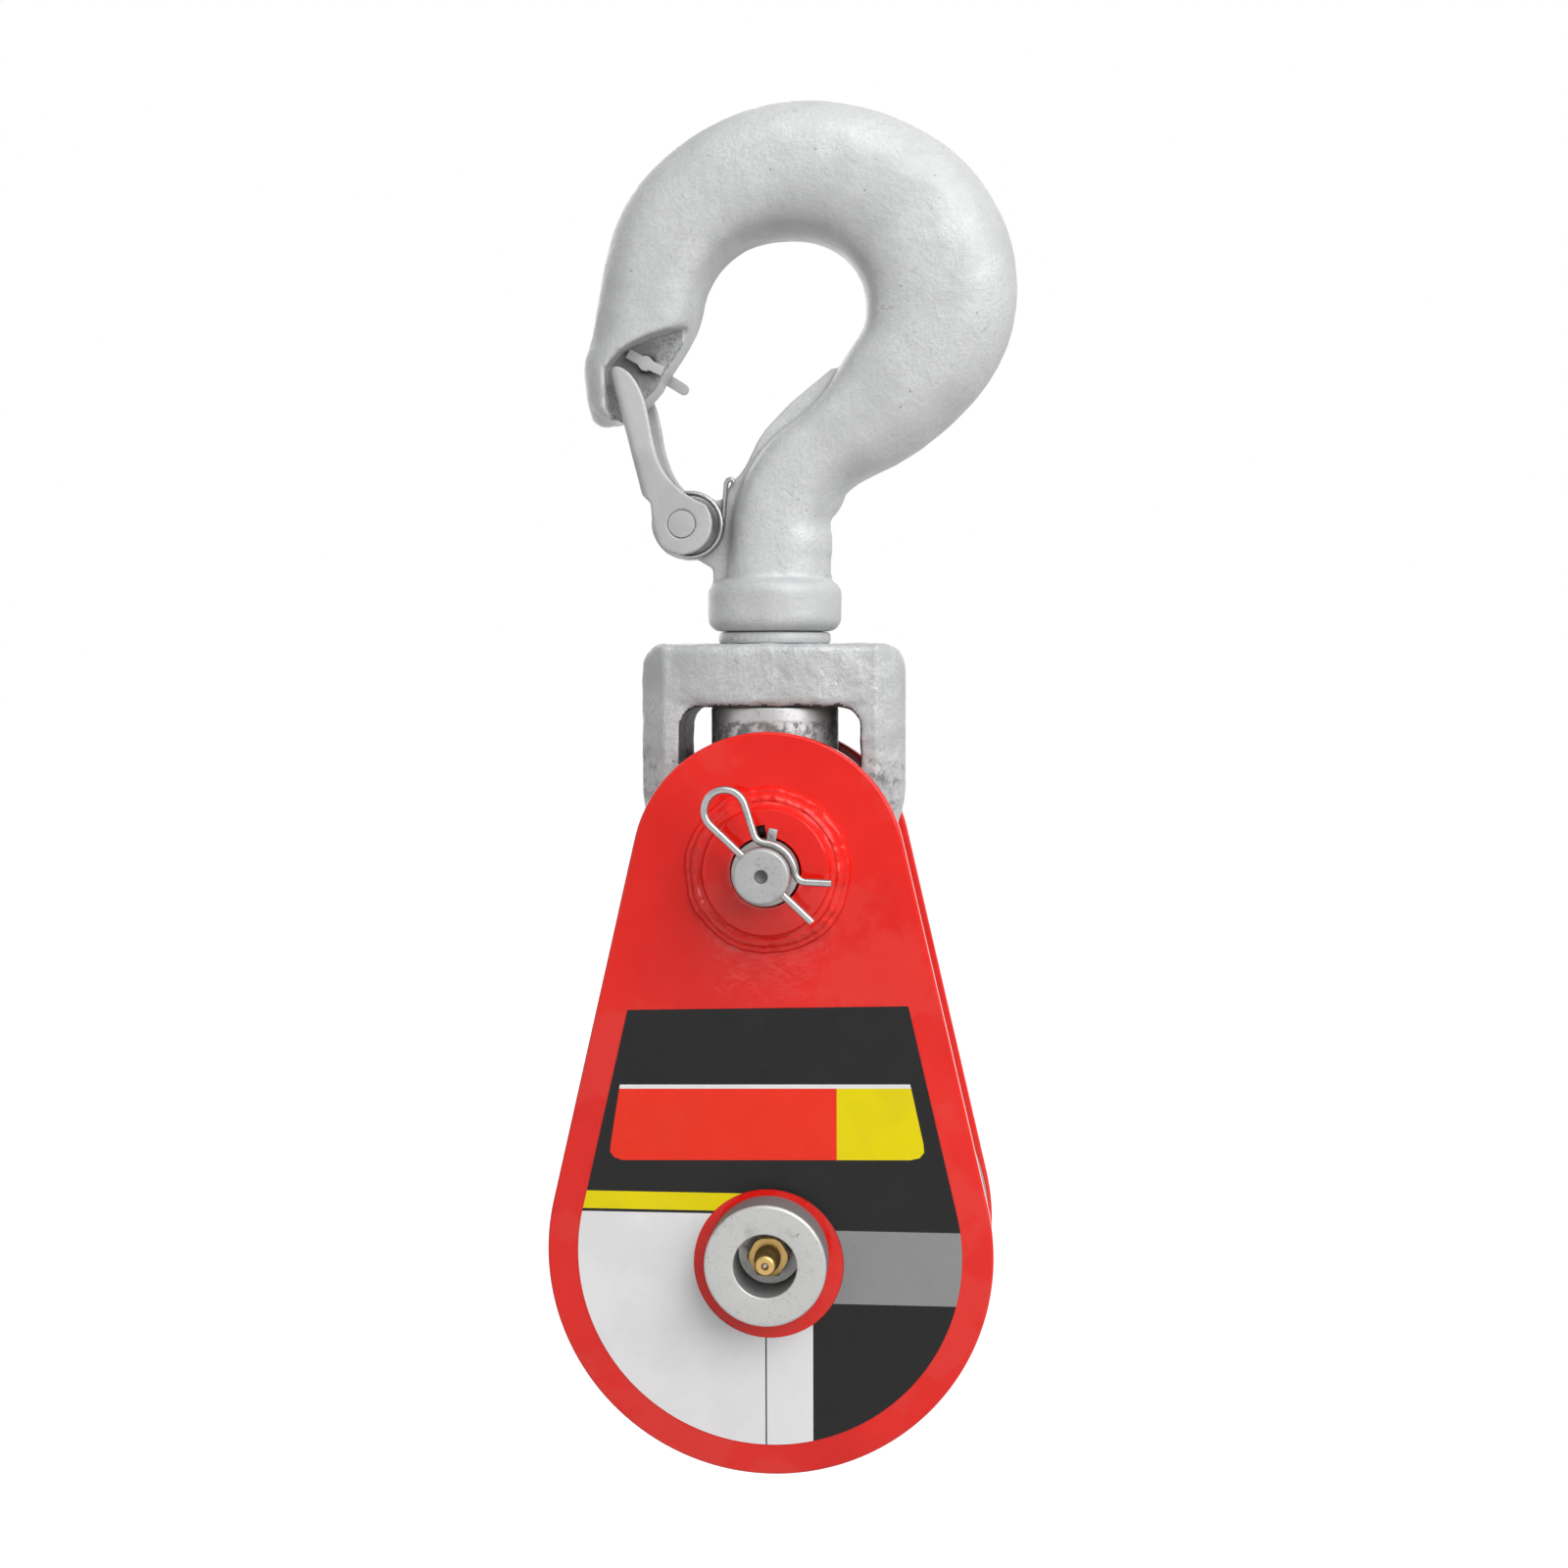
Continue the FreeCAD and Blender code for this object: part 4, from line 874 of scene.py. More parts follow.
@dataclass
class SpringLatch:
    """Folded latch with its rivet and spring, and the split cotter in the hook's tip.

    Attributes:
        pivot: The rivet's place as (x, z).
        cheek: Outer face of a cheek, from the middle plane.
        rivet: Radius of the rivet.
        dome: Stand of the rivet's domed heads.
        coil: Radius of the spring's coil.
        wire: Radius of the spring's wire.
        turns: Turns of the coil.
        steps: Points in a turn.
        pitch: Distance between its turns.
        back: Depth of its first turn.
        offset: How far the coil's centre lies to the right of the pivot.
        hook_leg: Bend of the leg on the hook, from the coil's centre as (across, up).
        latch_leg: Reach of the leg on the latch.
        soft: Rounding of the cotter's edges.
        tip_hole: The cotter's hole as (x, z).
        cut_from: Distance from the hole past which the cotter's sides are bare.
    """

    pivot: Pair = (-23.9, -77.4)
    cheek: float = 12.7
    rivet: float = 3.7
    dome: float = 0.2
    coil: float = 8.6
    wire: float = 0.7
    turns: float = 2.5
    steps: int = 30
    pitch: float = 1.55
    back: float = -5.35
    offset: float = 1.7
    hook_leg: tuple[Pair, ...] = ((11.6, 11.5), (11.3, 12.2), (10.7, 12.45), (10.0, 12.1), (9.6, 11.4))
    latch_leg: Point = (-0.8, 0.0, 12.0)
    soft: float = 0.45
    tip_hole: Pair = (-34.0, -34.0)
    cut_from: float = 4.6

    def latch(self, paints: Paints) -> None:
        """Sheet latch with the soft edges that paint gives a folded sheet."""
        latch = blank_of("latch", "folded_latch")
        forge(latch, 0.45, 3)
        hammer(latch, 0.08, lambda point: 1.0, (6.0, 1.0, 7.0))
        fit(settle(latch, 60.0), "latch_body", "latch_paint", paints.sheet, "latch")

    def rivet_pin(self, paints: Paints) -> None:
        """Rivet with a low domed head on each cheek, painted over."""
        x, z = self.pivot
        reach = self.cheek + 0.08
        head = [(0.0, reach + self.dome), (self.rivet * 0.6, reach + self.dome - 0.05),
                (self.rivet - 0.15, reach), (self.rivet, reach - 0.3)]
        profile = [(radius, -along) for radius, along in head] + head[::-1]
        rivet = turned("latch_rivet_pin", profile, (x, 0.0, z), sides=48)
        fit(rivet, "hook_body", "latch_paint", paints.sheet, "latch_rivet")

    def spring(self, paints: Paints) -> None:
        """Coil spring between the lug and the front cheek, with a leg on each side."""
        x, z = self.pivot[0] + self.offset, self.pivot[1]
        points = [Vector((x + across, self.back, z + up)) for across, up in self.hook_leg]
        for k in range(int(self.turns * self.steps) + 1):
            turn = -2 * math.pi * k / self.steps
            points.append(Vector((x + self.coil * math.cos(turn), self.back - self.pitch * k / self.steps,
                                  z + self.coil * math.sin(turn))))
        points.append(points[-1] + Vector(self.latch_leg))
        spring = wire("latch_coil_spring", points, self.wire)
        fit(spring, "hook_body", "spring_steel", paints.wire, "latch_spring")

    def is_cut_end(self, point: Vector, normal: Vector) -> bool:
        """Whether a face of the cotter is on the side of its legs' bare ends."""
        x, z = self.tip_hole
        return point.y < 0.0 and abs(normal.y) < 0.2 and math.hypot(point.x - x, point.z - z) > self.cut_from

    def cotter(self, paints: Paints) -> None:
        """Split cotter across the tip, its cut ends bare and the rest painted with the hook."""
        cotter = blank_of("tip_cotter", "tip_split_cotter")
        with editing(cotter):
            bpy.ops.mesh.dissolve_limited(angle_limit=math.radians(1.0))
        soften(cotter, self.soft, 3, 40.0)
        fit(settle(cotter, 40.0), "hook_body", "zinc_plate", paints.sheet, "tip_cotter")
        dress_part(cotter, paints.wire, self.is_cut_end)

    def build(self, paints: Paints) -> None:
        """Build the latch's pieces."""
        self.latch(paints)
        self.rivet_pin(paints)
        self.spring(paints)
        self.cotter(paints)


@dataclass
class SwivelYoke:
    """Forged yoke with its thrust washer, and the nut that carries it.

    Attributes:
        voxel: Mesh size in millimetres.
        dent: Depth of the forging's dents.
        blows: Size, share of the depth and pattern of the coarse and the fine dents.
        eye_clear: Radius round the head pin that has no dents.
        bearing: Radius round the stem that has no dents.
        corner: Distance from the middle past which the dents are shallower.
        washer: Radius of the thrust washer.
        washer_bore: Radius of its hole.
        nut: Radius of the swivel nut.
        nut_bore: Radius of its hole.
        crease: Distance from the middle where the arms' draft starts.
        slope: How fast the draft narrows the arms.
        window: Half width of the window round the nut.
        window_heights: Its foot and top.
    """

    voxel: float = 0.8
    dent: float = 0.3
    blows: tuple[Point, ...] = ((5.0, 1.0, 2.0), (1.8, 0.3, 5.0))
    eye_clear: float = 12.0
    bearing: float = 16.0
    corner: float = 34.0
    washer: float = 15.3
    washer_bore: float = 11.98
    nut: float = 17.4
    nut_bore: float = 11.92
    crease: float = 28.5
    slope: float = 0.06
    window: float = 26.4
    window_heights: Pair = (-157.0, -122.8)

    def on_arms(self, point: Vector) -> float:
        """Share of the dents: none in the eye and the stem's bore, or where the washer bears."""
        if math.hypot(point.x, point.z - PIN_Z) < self.eye_clear or math.hypot(point.x, point.y) < self.bearing:
            return 0.0
        return 1.0 if abs(point.x) < self.corner else 0.6

    def draft_arms(self, yoke: Piece) -> None:
        """Slope the arms' outer strips back, as the die leaves them."""
        for vertex in yoke.data.vertices:
            over = abs(vertex.co.x) / MM - self.crease
            if over > 0.0:
                vertex.co.y *= 1.0 - self.slope * over

    def in_window(self, point: Vector, normal: Vector) -> bool:
        """Whether a face looks into the window round the swivel nut or down under the bridge, with a ragged
        border; these faces get painted shade.
        """
        low, high = self.window_heights
        ragged = 0.6 + 0.2 * noise.noise(point * 0.35)
        return (abs(point.x) < self.window and low < point.z < high and abs(normal.y) < ragged
                and (normal.x * point.x < 0.0 or normal.z < -0.3))

    def build(self, paints: Paints) -> None:
        """Work the yoke from its blank, turn the washer and the nut."""
        yoke = blank_of("yoke", "forged_yoke")
        forge(yoke, self.voxel, 3)
        self.draft_arms(yoke)
        hammer(yoke, self.dent, self.on_arms, *self.blows)
        fit(settle(yoke, 60.0), "yoke_body", "silver_paint", paints.yoke, "yoke")
        # Painted shade: the window's walls and the bridge's underside get the near-black paint.
        dress_part(yoke, paints.window_shade, self.in_window)
        low, high = (corner.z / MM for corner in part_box("thrust_washer"))
        profile = ring_profile(self.washer, self.washer_bore, low, high)
        washer = turned("swivel_thrust_washer", profile, axis=Axis.UP, edge=0.9)
        fit(washer, "yoke_body", "silver_paint", paints.forging, "thrust_washer")
        profile = ring_profile(self.nut, self.nut_bore, NUT_LOW, NUT_TOP)
        nut = turned("swivel_round_nut", profile, axis=Axis.UP, edge=0.8)
        fit(nut, "hook_body", "turned_steel", paints.turned, "swivel_nut")
        coat_node("nut_lock_pin", paints.turned)


@dataclass
class SidePlates:
    """The two red side plates and the bosses welded on them.

    Attributes:
        low: Radius round the axle.
        high: Radius round the head pin.
        edge: Rounding of the rim under the paint.
        pin_hole: Radius of the front hole, which the head pin comes out of.
        pin_seat: Radius of the rear hole, which the head pin sits in.
        axle_hole: Radius of the axle's holes.
        sides: Faces round a full disc.
        boss: Radius of a boss.
        weld: Beads of the weld, as (radius, height) from the boss outwards.
        toe: Radius of the weld's toe.
        weld_from: Radius where the weld's unevenness starts.
        weld_blend: Width over which it grows.
        lump: Turn of the lump where the run ends, and its half width, in radians.
        slot: Width, depth and length of the key's slot.
        slot_lean: Its lean in degrees.
    """

    low: float = 60.0
    high: float = 36.6
    edge: float = 0.9
    pin_hole: float = 9.4
    pin_seat: float = 8.82
    axle_hole: float = 12.58
    sides: int = 192
    boss: float = 17.0
    weld: tuple[Pair, ...] = ((17.7, 3.5), (18.3, 3.05), (18.9, 3.2), (19.6, 2.9), (20.2, 2.2), (20.7, 1.55),
                              (21.1, 1.5), (21.7, 1.25), (21.95, 0.7), (22.15, 0.25))
    toe: float = 22.3
    weld_from: float = 17.2
    weld_blend: float = 1.8
    lump: Pair = (-0.75, 0.22)
    slot: Point = (3.6, 30.0, 12.4)
    slot_lean: float = 9.0

    def blank(self, name: str, low: float, high: float, near: float, far: float) -> Piece:
        """Egg-shaped plate: the hull of two discs, in millimetres.

        Args:
            name: Name of the piece.
            low: Radius of the disc about the axle.
            high: Radius of the disc about the head pin.
            near: Front face's depth.
            far: Rear face's depth.

        Returns:
            The plate.
        """
        middle = (near + far) / 2
        plate = bar(name, self.sides, low, far - near, (0.0, middle, AXLE_Z))
        join_on(plate, bar(name + "_top", self.sides, high, far - near, (0.0, middle, PIN_Z)))
        with editing(plate):
            bpy.ops.mesh.convex_hull()
            bpy.ops.mesh.dissolve_limited(angle_limit=math.radians(0.4))
        return plate

    def key_slot(self) -> Piece:
        """Tool that cuts the slot over the head pin, which its key passes through."""
        lean = math.radians(self.slot_lean)
        reach = self.slot[2] / 2
        centre = (-math.sin(lean) * reach, PLATE_FACE, PIN_Z + math.cos(lean) * reach)
        return block("key_slot_tool", centre, self.slot, -self.slot_lean)

    def plate(self, name: str, near: float, far: float, slotted: bool) -> Piece:
        """One side plate with a rounded rim and its two holes.

        Args:
            name: Name of the piece.
            near: Front face's depth in millimetres.
            far: Rear face's depth.
            slotted: Whether it lets the head pin and its key out.

        Returns:
            The plate.
        """
        plate = self.blank(name, self.low, self.high, near, far)
        soften(plate, self.edge, 4, 60.0)
        depth = far - near + 4.0
        middle = (near + far) / 2
        hole = self.pin_hole if slotted else self.pin_seat
        carve(plate, bar("pin_drill", 64, hole, depth, (0.0, middle, PIN_Z)))
        carve(plate, bar("axle_drill", 64, self.axle_hole, depth, (0.0, middle, AXLE_Z)))
        if slotted:
            carve(plate, self.key_slot())
        return settle(plate, 30.0)

    def welded_boss(self, name: str, side: int) -> Piece:
        """Round boss with an uneven weld round its foot.

        Args:
            name: Name of the piece.
            side: -1 at the front, 1 at the rear.

        Returns:
            The boss, open for the head pin.
        """
        face = PLATE_FACE if side < 0 else REAR_FACE
        hole = self.pin_hole if side < 0 else self.pin_seat
        steps = [(hole, 0.0), (hole, BOSS_HEIGHT), (self.boss - 1.2, BOSS_HEIGHT),
                 (self.boss - 0.35, BOSS_HEIGHT - 0.35), (self.boss, BOSS_HEIGHT - 1.2), *self.weld,
                 (self.toe, 0.0), (hole, 0.0)]
        profile = [(radius, side * height) for radius, height in steps]
        boss = turned(name, profile, (0.0, face, PIN_Z), sides=180)
        self.run_weld(boss, face, side)
        if side < 0:
            carve(boss, self.key_slot())
        return settle(boss, 32.0)

    def run_weld(self, boss: Piece, face: float, side: int) -> None:
        """Make the weld's beads uneven, with a lump where the run ends.

        Args:
            boss: The turned boss.
            face: Depth of the plate's face in millimetres.
            side: -1 at the front, 1 at the rear.
        """
        lump_turn, lump_width = self.lump
        for vertex in boss.data.vertices:
            x, z = vertex.co.x / MM, vertex.co.z / MM - PIN_Z
            radius = math.hypot(x, z)
            share = min(1.0, max(0.0, (radius - self.weld_from) / self.weld_blend))
            if not share:
                continue
            turn = math.atan2(z, x)
            ripple = round_noise(turn, 3.2, 0.7 * side)
            beads = round_noise(turn, 11.0, radius * 0.35)
            lump = math.exp(-((turn - lump_turn) / lump_width) ** 2)
            grow = 1.0 + (0.018 * ripple + 0.008 * beads + 0.018 * lump) * share
            grow = min(grow, (self.toe + 0.3) / radius)
            height = (vertex.co.y / MM - face) * side
            rise = (0.55 * ripple + 0.4 * beads + 1.0 * lump) * share if height > 0.02 else 0.0
            vertex.co.x *= grow
            vertex.co.z = (PIN_Z + z * grow) * MM
            vertex.co.y = (face + side * max(0.0, height + rise * min(1.0, height))) * MM

    def build(self, paints: Paints) -> None:
        """Build both plates and both bosses."""
        front = self.plate("front_side_plate", PLATE_FACE, PLATE_INSIDE, True)
        fit(front, "block_body", "red_paint", paints.red, "front_plate")
        rear = self.plate("rear_side_plate", -PLATE_INSIDE, REAR_FACE, False)
        fit(rear, "block_body", "red_paint", paints.red, "rear_plate")
        fit(self.welded_boss("front_welded_boss", -1), "block_body", "red_paint", paints.red, "front_boss")
        fit(self.welded_boss("rear_welded_boss", 1), "block_body", "red_paint", paints.red, "rear_boss")


@dataclass
class HeadPin:
    """Head pin with its spigot, key and rear head, and the spring clip through it.

    Attributes:
        radius: The pin's radius.
        spigot: Radius of its end.
        shoulder: Stand of the shoulder over the plate.
        length: Length of the spigot.
        drilling: Radius of the centre drilling in its end.
        head: Radius of the rear head.
        head_height: Its height.
        key: Width, depth and height of the key.
        key_place: The key's distance from the pin's axis and its stand over the plate.
        key_lean: Its lean in degrees.
        clip_wire: Radius of the clip's wire.
        clip_turn: Lean of the clip's straight leg in degrees.
        clip_back: Depth of the clip behind the spigot's end.
        loop: Radius of the clip's loop.
        wave: Radius of the bends beside the spigot.
        wrap: Half angle that the wavy leg lies on the spigot, in degrees.
        leg_out: Reach of the straight leg past the spigot's axis.
        leg_in: Reach of the loop on the other side.
        tail: Length of the wavy leg's tail.
        tail_lean: Lean of the tail to the straight leg in degrees.
    """

    radius: float = 8.8
    spigot: float = 7.3
    shoulder: float = 9.0
    length: float = 9.0
    drilling: float = 1.8
    head: float = 13.5
    head_height: float = 6.5
    key: Point = (2.4, 2.2, 3.2)
    key_place: Pair = (10.2, 6.9)
    key_lean: float = 11.0
    clip_wire: float = 1.0
    clip_turn: float = -43.5
    clip_back: float = 4.6
    loop: float = 5.4
    wave: float = 3.0
    wrap: float = 50.0
    leg_out: float = 17.6
    leg_in: float = 24.0
    tail: float = 6.6
    tail_lean: float = 41.0

    def in_drilling(self, point: Vector, normal: Vector) -> bool:
        """Whether a face is in the centre drilling."""
        depth = point.y - (PLATE_FACE - self.shoulder - self.length)
        return 0.15 < depth < 3.0 and math.hypot(point.x, point.z - PIN_Z) < self.drilling

    def pin(self, paints: Paints) -> None:
        """Turned pin with a centre drilling, a shoulder and a domed rear head."""
        shoulder = PLATE_FACE - self.shoulder
        end = shoulder - self.length
        rear = REAR_FACE + BOSS_HEIGHT
        back = rear + self.head_height
        profile = [(0.0, end + 2.2), (0.9, end + 1.5), (self.drilling - 0.3, end + 1.1), (self.drilling, end),
                   (self.spigot - 0.6, end), (self.spigot, end + 0.6), (self.spigot, shoulder),
                   (self.radius - 0.6, shoulder), (self.radius, shoulder + 0.6), (self.radius, rear),
                   (self.head, rear), (self.head, back - 1.0), (self.head - 1.0, back), (0.0, back)]
        pin = turned("clevis_head_pin", profile, PIN_AT, edge=0.18)
        fit(pin, "block_body", "zinc_plate", paints.pin, "head_pin")
        dress_part(pin, paints.bore, self.in_drilling)

    def pin_key(self, paints: Paints) -> None:
        """Key beside the spigot, which keeps the pin from coming out."""
        lean = math.radians(self.key_lean)
        reach, stand = self.key_place
        centre = (math.sin(lean) * reach, PLATE_FACE - stand, PIN_Z + math.cos(lean) * reach)
        key = block("head_pin_key", centre, self.key, self.key_lean)
        soften(key, 0.35, 3)
        fit(settle(key), "block_body", "zinc_plate", paints.pin)

    def clip_arc(self, centre: Pair, radius: float, start: float, end: float) -> list[Pair]:
        """Points of an arc of the clip.

        Args:
            centre: The arc's centre in the clip's plane.
            radius: Its radius.
            start: Angle of its first point in degrees.
            end: Angle of its last point.

        Returns:
            The points, about nine degrees apart.
        """
        count = max(3, int(abs(end - start) / 9))
        turns = [math.radians(start + (end - start) * k / count) for k in range(count + 1)]
        return [(centre[0] + radius * math.cos(t), centre[1] + radius * math.sin(t)) for t in turns]

    def clip(self, paints: Paints) -> None:
        """Spring clip: a straight leg through the spigot, a loop and a wavy leg over it."""
        hug = self.spigot + self.clip_wire + 0.08
        wrap, lean = math.radians(self.wrap), math.radians(self.tail_lean)
        out, up = (hug + self.wave) * math.cos(wrap), (hug + self.wave) * math.sin(wrap)
        along = self.loop - self.leg_in
        span = math.hypot(-out - along, up - self.loop)
        rise = math.atan2(up - self.loop, -out - along)
        fall = math.degrees(math.asin((self.loop + self.wave) / span) - rise)
        path = [(self.leg_out, 0.0), (0.0, 0.0)]
        path += self.clip_arc((along, self.loop), self.loop, 270.0, 90.0 - fall)
        path += self.clip_arc((-out, up), self.wave, -90.0 - fall, -self.wrap)
        path += self.clip_arc((0.0, 0.0), hug, 180.0 - self.wrap, self.wrap)[1:]
        path += self.clip_arc((out, up), self.wave, 180.0 + self.wrap, 270.0 + self.tail_lean)[1:]
        path.append((path[-1][0] + self.tail * math.cos(lean), path[-1][1] + self.tail * math.sin(lean)))
        turn = math.radians(self.clip_turn)
        cos, sin = math.cos(turn), math.sin(turn)
        depth = PLATE_FACE - self.shoulder - self.length + self.clip_back
        points = [Vector((u * cos - n * sin, depth, PIN_Z + u * sin + n * cos)) for u, n in path]
        clip = wire("spring_hitch_clip", points, self.clip_wire)
        fit(clip, "clip_body", "spring_steel", paints.wire, "hitch_clip")

    def build(self, paints: Paints) -> None:
        """Build the pin, its key and its clip."""
        self.pin(paints)
        self.pin_key(paints)
        self.clip(paints)


@dataclass
class AxleSet:
    """Axle with its nut, the sheave on it and the grease nipple in its head.

    Attributes:
        head: Radius of the axle's head.
        stand: Its stand over the front plate.
        bore: Radius of its counterbore.
        bore_depth: Depth of the counterbore.
        shank: Radius of the axle between the plates.
        tail: Radius of its thread.
        tail_length: How far the tail reaches past the rear plate.
        thread: Pitch and depth of the thread's crests, and the first one's distance from the plate.
        feed: Radius of the grease channel.
        hexagon: Half width over the nipple's flats.
        hexagon_height: Height of its hexagon.
        nipple_height: Height of the whole nipple.
        sheave: Radius of the sheave.
        groove: Radius of the rope groove.
        groove_depth: Depth of the groove.
        rim: Half width of the sheave's rim.
        nut_flats: Width over the nut's flats.
        nut_height: Height of the nut.
        nut_slot: Length, depth and width of the slots in the nut.
        washer: Radius, bore and thickness of the nut's washer.
    """

    head: float = 16.2
    stand: float = 10.8
    bore: float = 8.4
    bore_depth: float = 13.5
    shank: float = 12.5
    tail: float = 9.5
    tail_length: float = 15.0
    thread: Point = (0.85, 0.45, 0.8)
    feed: float = 2.2
    hexagon: float = 5.0
    hexagon_height: float = 4.6
    nipple_height: float = 13.4
    sheave: float = 59.0
    groove: float = 6.9
    groove_depth: float = 12.5
    rim: float = 13.5
    nut_flats: float = 28.0
    nut_height: float = 11.0
    nut_slot: Point = (40.0, 9.0, 3.36)
    washer: Point = (17.0, 9.58, 2.5)

    @property
    def face(self) -> float:
        """Depth of the axle head's face."""
        return PLATE_FACE - self.stand

    @property
    def floor(self) -> float:
        """Depth of the counterbore's floor."""
        return self.face + self.bore_depth

    def in_bore(self, point: Vector, normal: Vector) -> bool:
        """Whether a face is on the counterbore's wall."""
        return self.face + 0.7 < point.y < self.floor - 0.1 and abs(normal.y) < 0.5

    def axle(self, paints: Paints) -> None:
        """Turned axle with a counterbored head."""
        pitch, depth, start = self.thread
        end = REAR_FACE + self.tail_length
        crests = [(self.tail - depth * (k % 2), REAR_FACE + start + pitch * k) for k in range(16)]
        profile = [(self.feed, 0.0), (self.feed, self.floor), (self.bore, self.floor),
                   (self.bore, self.face + 0.3), (self.bore + 0.3, self.face), (self.head - 0.6, self.face),
                   (self.head, self.face + 0.6), (self.head, PLATE_FACE), (self.shank, PLATE_FACE),
                   (self.shank, REAR_FACE), (self.tail, REAR_FACE), *crests, (self.tail - 0.9, end),
                   (0.0, end), (0.0, 0.5), (self.feed, 0.0)]
        axle = turned("sheave_axle", profile, AXLE_AT, sides=128, edge=0.12)
        fit(axle, "block_body", "zinc_plate", paints.zinc, "axle")
        dress_part(axle, paints.bore, self.in_bore)

    def nipple(self, paints: Paints) -> None:
        """Brass nipple: chamfered hexagon, waisted neck and rounded head."""
        floor = self.floor
        collar, tip = floor - self.hexagon_height, floor - self.nipple_height
        hexagon = bar("nipple_hexagon", 6, self.hexagon / HEX_RATIO, self.hexagon_height,
                      (0.0, (floor + collar) / 2, AXLE_Z), 30.0)
        cone = [(0.0, collar - 0.1), (5.1, collar - 0.1), (6.2, collar + 0.7), (6.2, floor + 0.1),
                (0.0, floor + 0.1)]
        carve(hexagon, turned("nipple_chamfer", cone, AXLE_AT, sides=64), "INTERSECT")
        soften(hexagon, 0.12, 2)
        profile = [(0.0, floor + 1.0), (3.2, floor + 1.0), (3.5, collar), (3.5, collar - 2.8),
                   (3.1, collar - 3.2), (2.2, collar - 4.0), (2.2, tip + 3.2), (2.5, tip + 2.5),
                   (2.8, tip + 2.0), (2.8, tip + 0.8), (2.5, tip + 0.3), (2.0, tip), (1.0, tip),
                   (1.0, tip + 1.1), (0.0, tip + 1.1)]
        join_on(hexagon, turned("nipple_neck", profile, AXLE_AT, sides=64, edge=0.08))
        nipple = made("brass_grease_nipple")
        fit(settle(nipple), "block_body", "brass", paints.brass, "grease_nipple")
        coat_node("nipple_ball", paints.wire)

    def wheel(self, paints: Paints) -> None:
        """Sheave with its rope groove, recessed web and hub."""
        throat = self.sheave - self.groove_depth + self.groove
        arc = [(throat - self.groove * math.cos(math.radians(a)), self.groove * math.sin(math.radians(a)))
               for a in range(-70, 71, 10)]
        lip = self.rim - 2.6
        half = [(self.sheave - 0.3, lip - 0.2), (self.sheave, lip + 0.3), (self.sheave, self.rim - 0.8),
                (self.sheave - 0.8, self.rim), (38.0, self.rim), (35.5, 5.5), (23.5, 5.5), (22.0, 16.0),
                (15.1, 16.0)]
        mirrored = [(radius, -depth) for radius, depth in reversed(half)]
        wheel = turned("rope_sheave", [*mirrored, *arc, *half, mirrored[0]], AXLE_AT, sides=160, edge=0.3)
        fit(wheel, "sheave_body", "sheave_steel", paints.sheave, "sheave")

    def nut(self, paints: Paints) -> None:
        """Slotted nut with chamfered corners on the axle's tail, and its washer."""
        radius, hole, thick = self.washer
        low, high = REAR_FACE + thick, REAR_FACE + thick + self.nut_height
        nut = bar("slotted_axle_nut", 6, self.nut_flats / 2 / HEX_RATIO, high - low,
                  (0.0, (low + high) / 2, AXLE_Z), 30.0)
        cone = [(0.0, low - 0.1), (17.0, low - 0.1), (17.0, high - 1.5), (14.2, high + 0.1), (0.0, high + 0.1)]
        carve(nut, turned("nut_chamfer", cone, AXLE_AT), "INTERSECT")
        carve(nut, bar("nut_thread", 64, self.tail + 0.02, 30.0, (0.0, high, AXLE_Z)))
        for turn in (0.0, 60.0, 120.0):
            carve(nut, block("nut_slot_tool", (0.0, high, AXLE_Z), self.nut_slot, turn))
        soften(nut, 0.25, 2)
        fit(settle(nut), "block_body", "zinc_plate", paints.zinc, "axle_nut")
        washer = turned("axle_nut_flat_washer", ring_profile(radius, hole, REAR_FACE, low), AXLE_AT, edge=0.3)
        fit(washer, "block_body", "zinc_plate", paints.zinc, "axle_nut_washer")

    def build(self, paints: Paints) -> None:
        """Build the axle's pieces and coat the CAD nodes between the plates."""
        self.axle(paints)
        self.nipple(paints)
        self.wheel(paints)
        self.nut(paints)
        coat_node("sheave_bushing", paints.bronze)
        coat_node("nut_cotter", paints.wire)
        for node in ("front_side_washer", "rear_side_washer"):
            coat_node(node, paints.zinc)


class Ink(Enum):
    """Colours of the label's plain fields."""

    BLACK = (0.009, 0.008, 0.008)
    WHITE = (0.80, 0.79, 0.79)
    RED = (0.84, 0.032, 0.012)
    YELLOW = (0.80, 0.66, 0.0)
    GREY = (0.27, 0.27, 0.275)


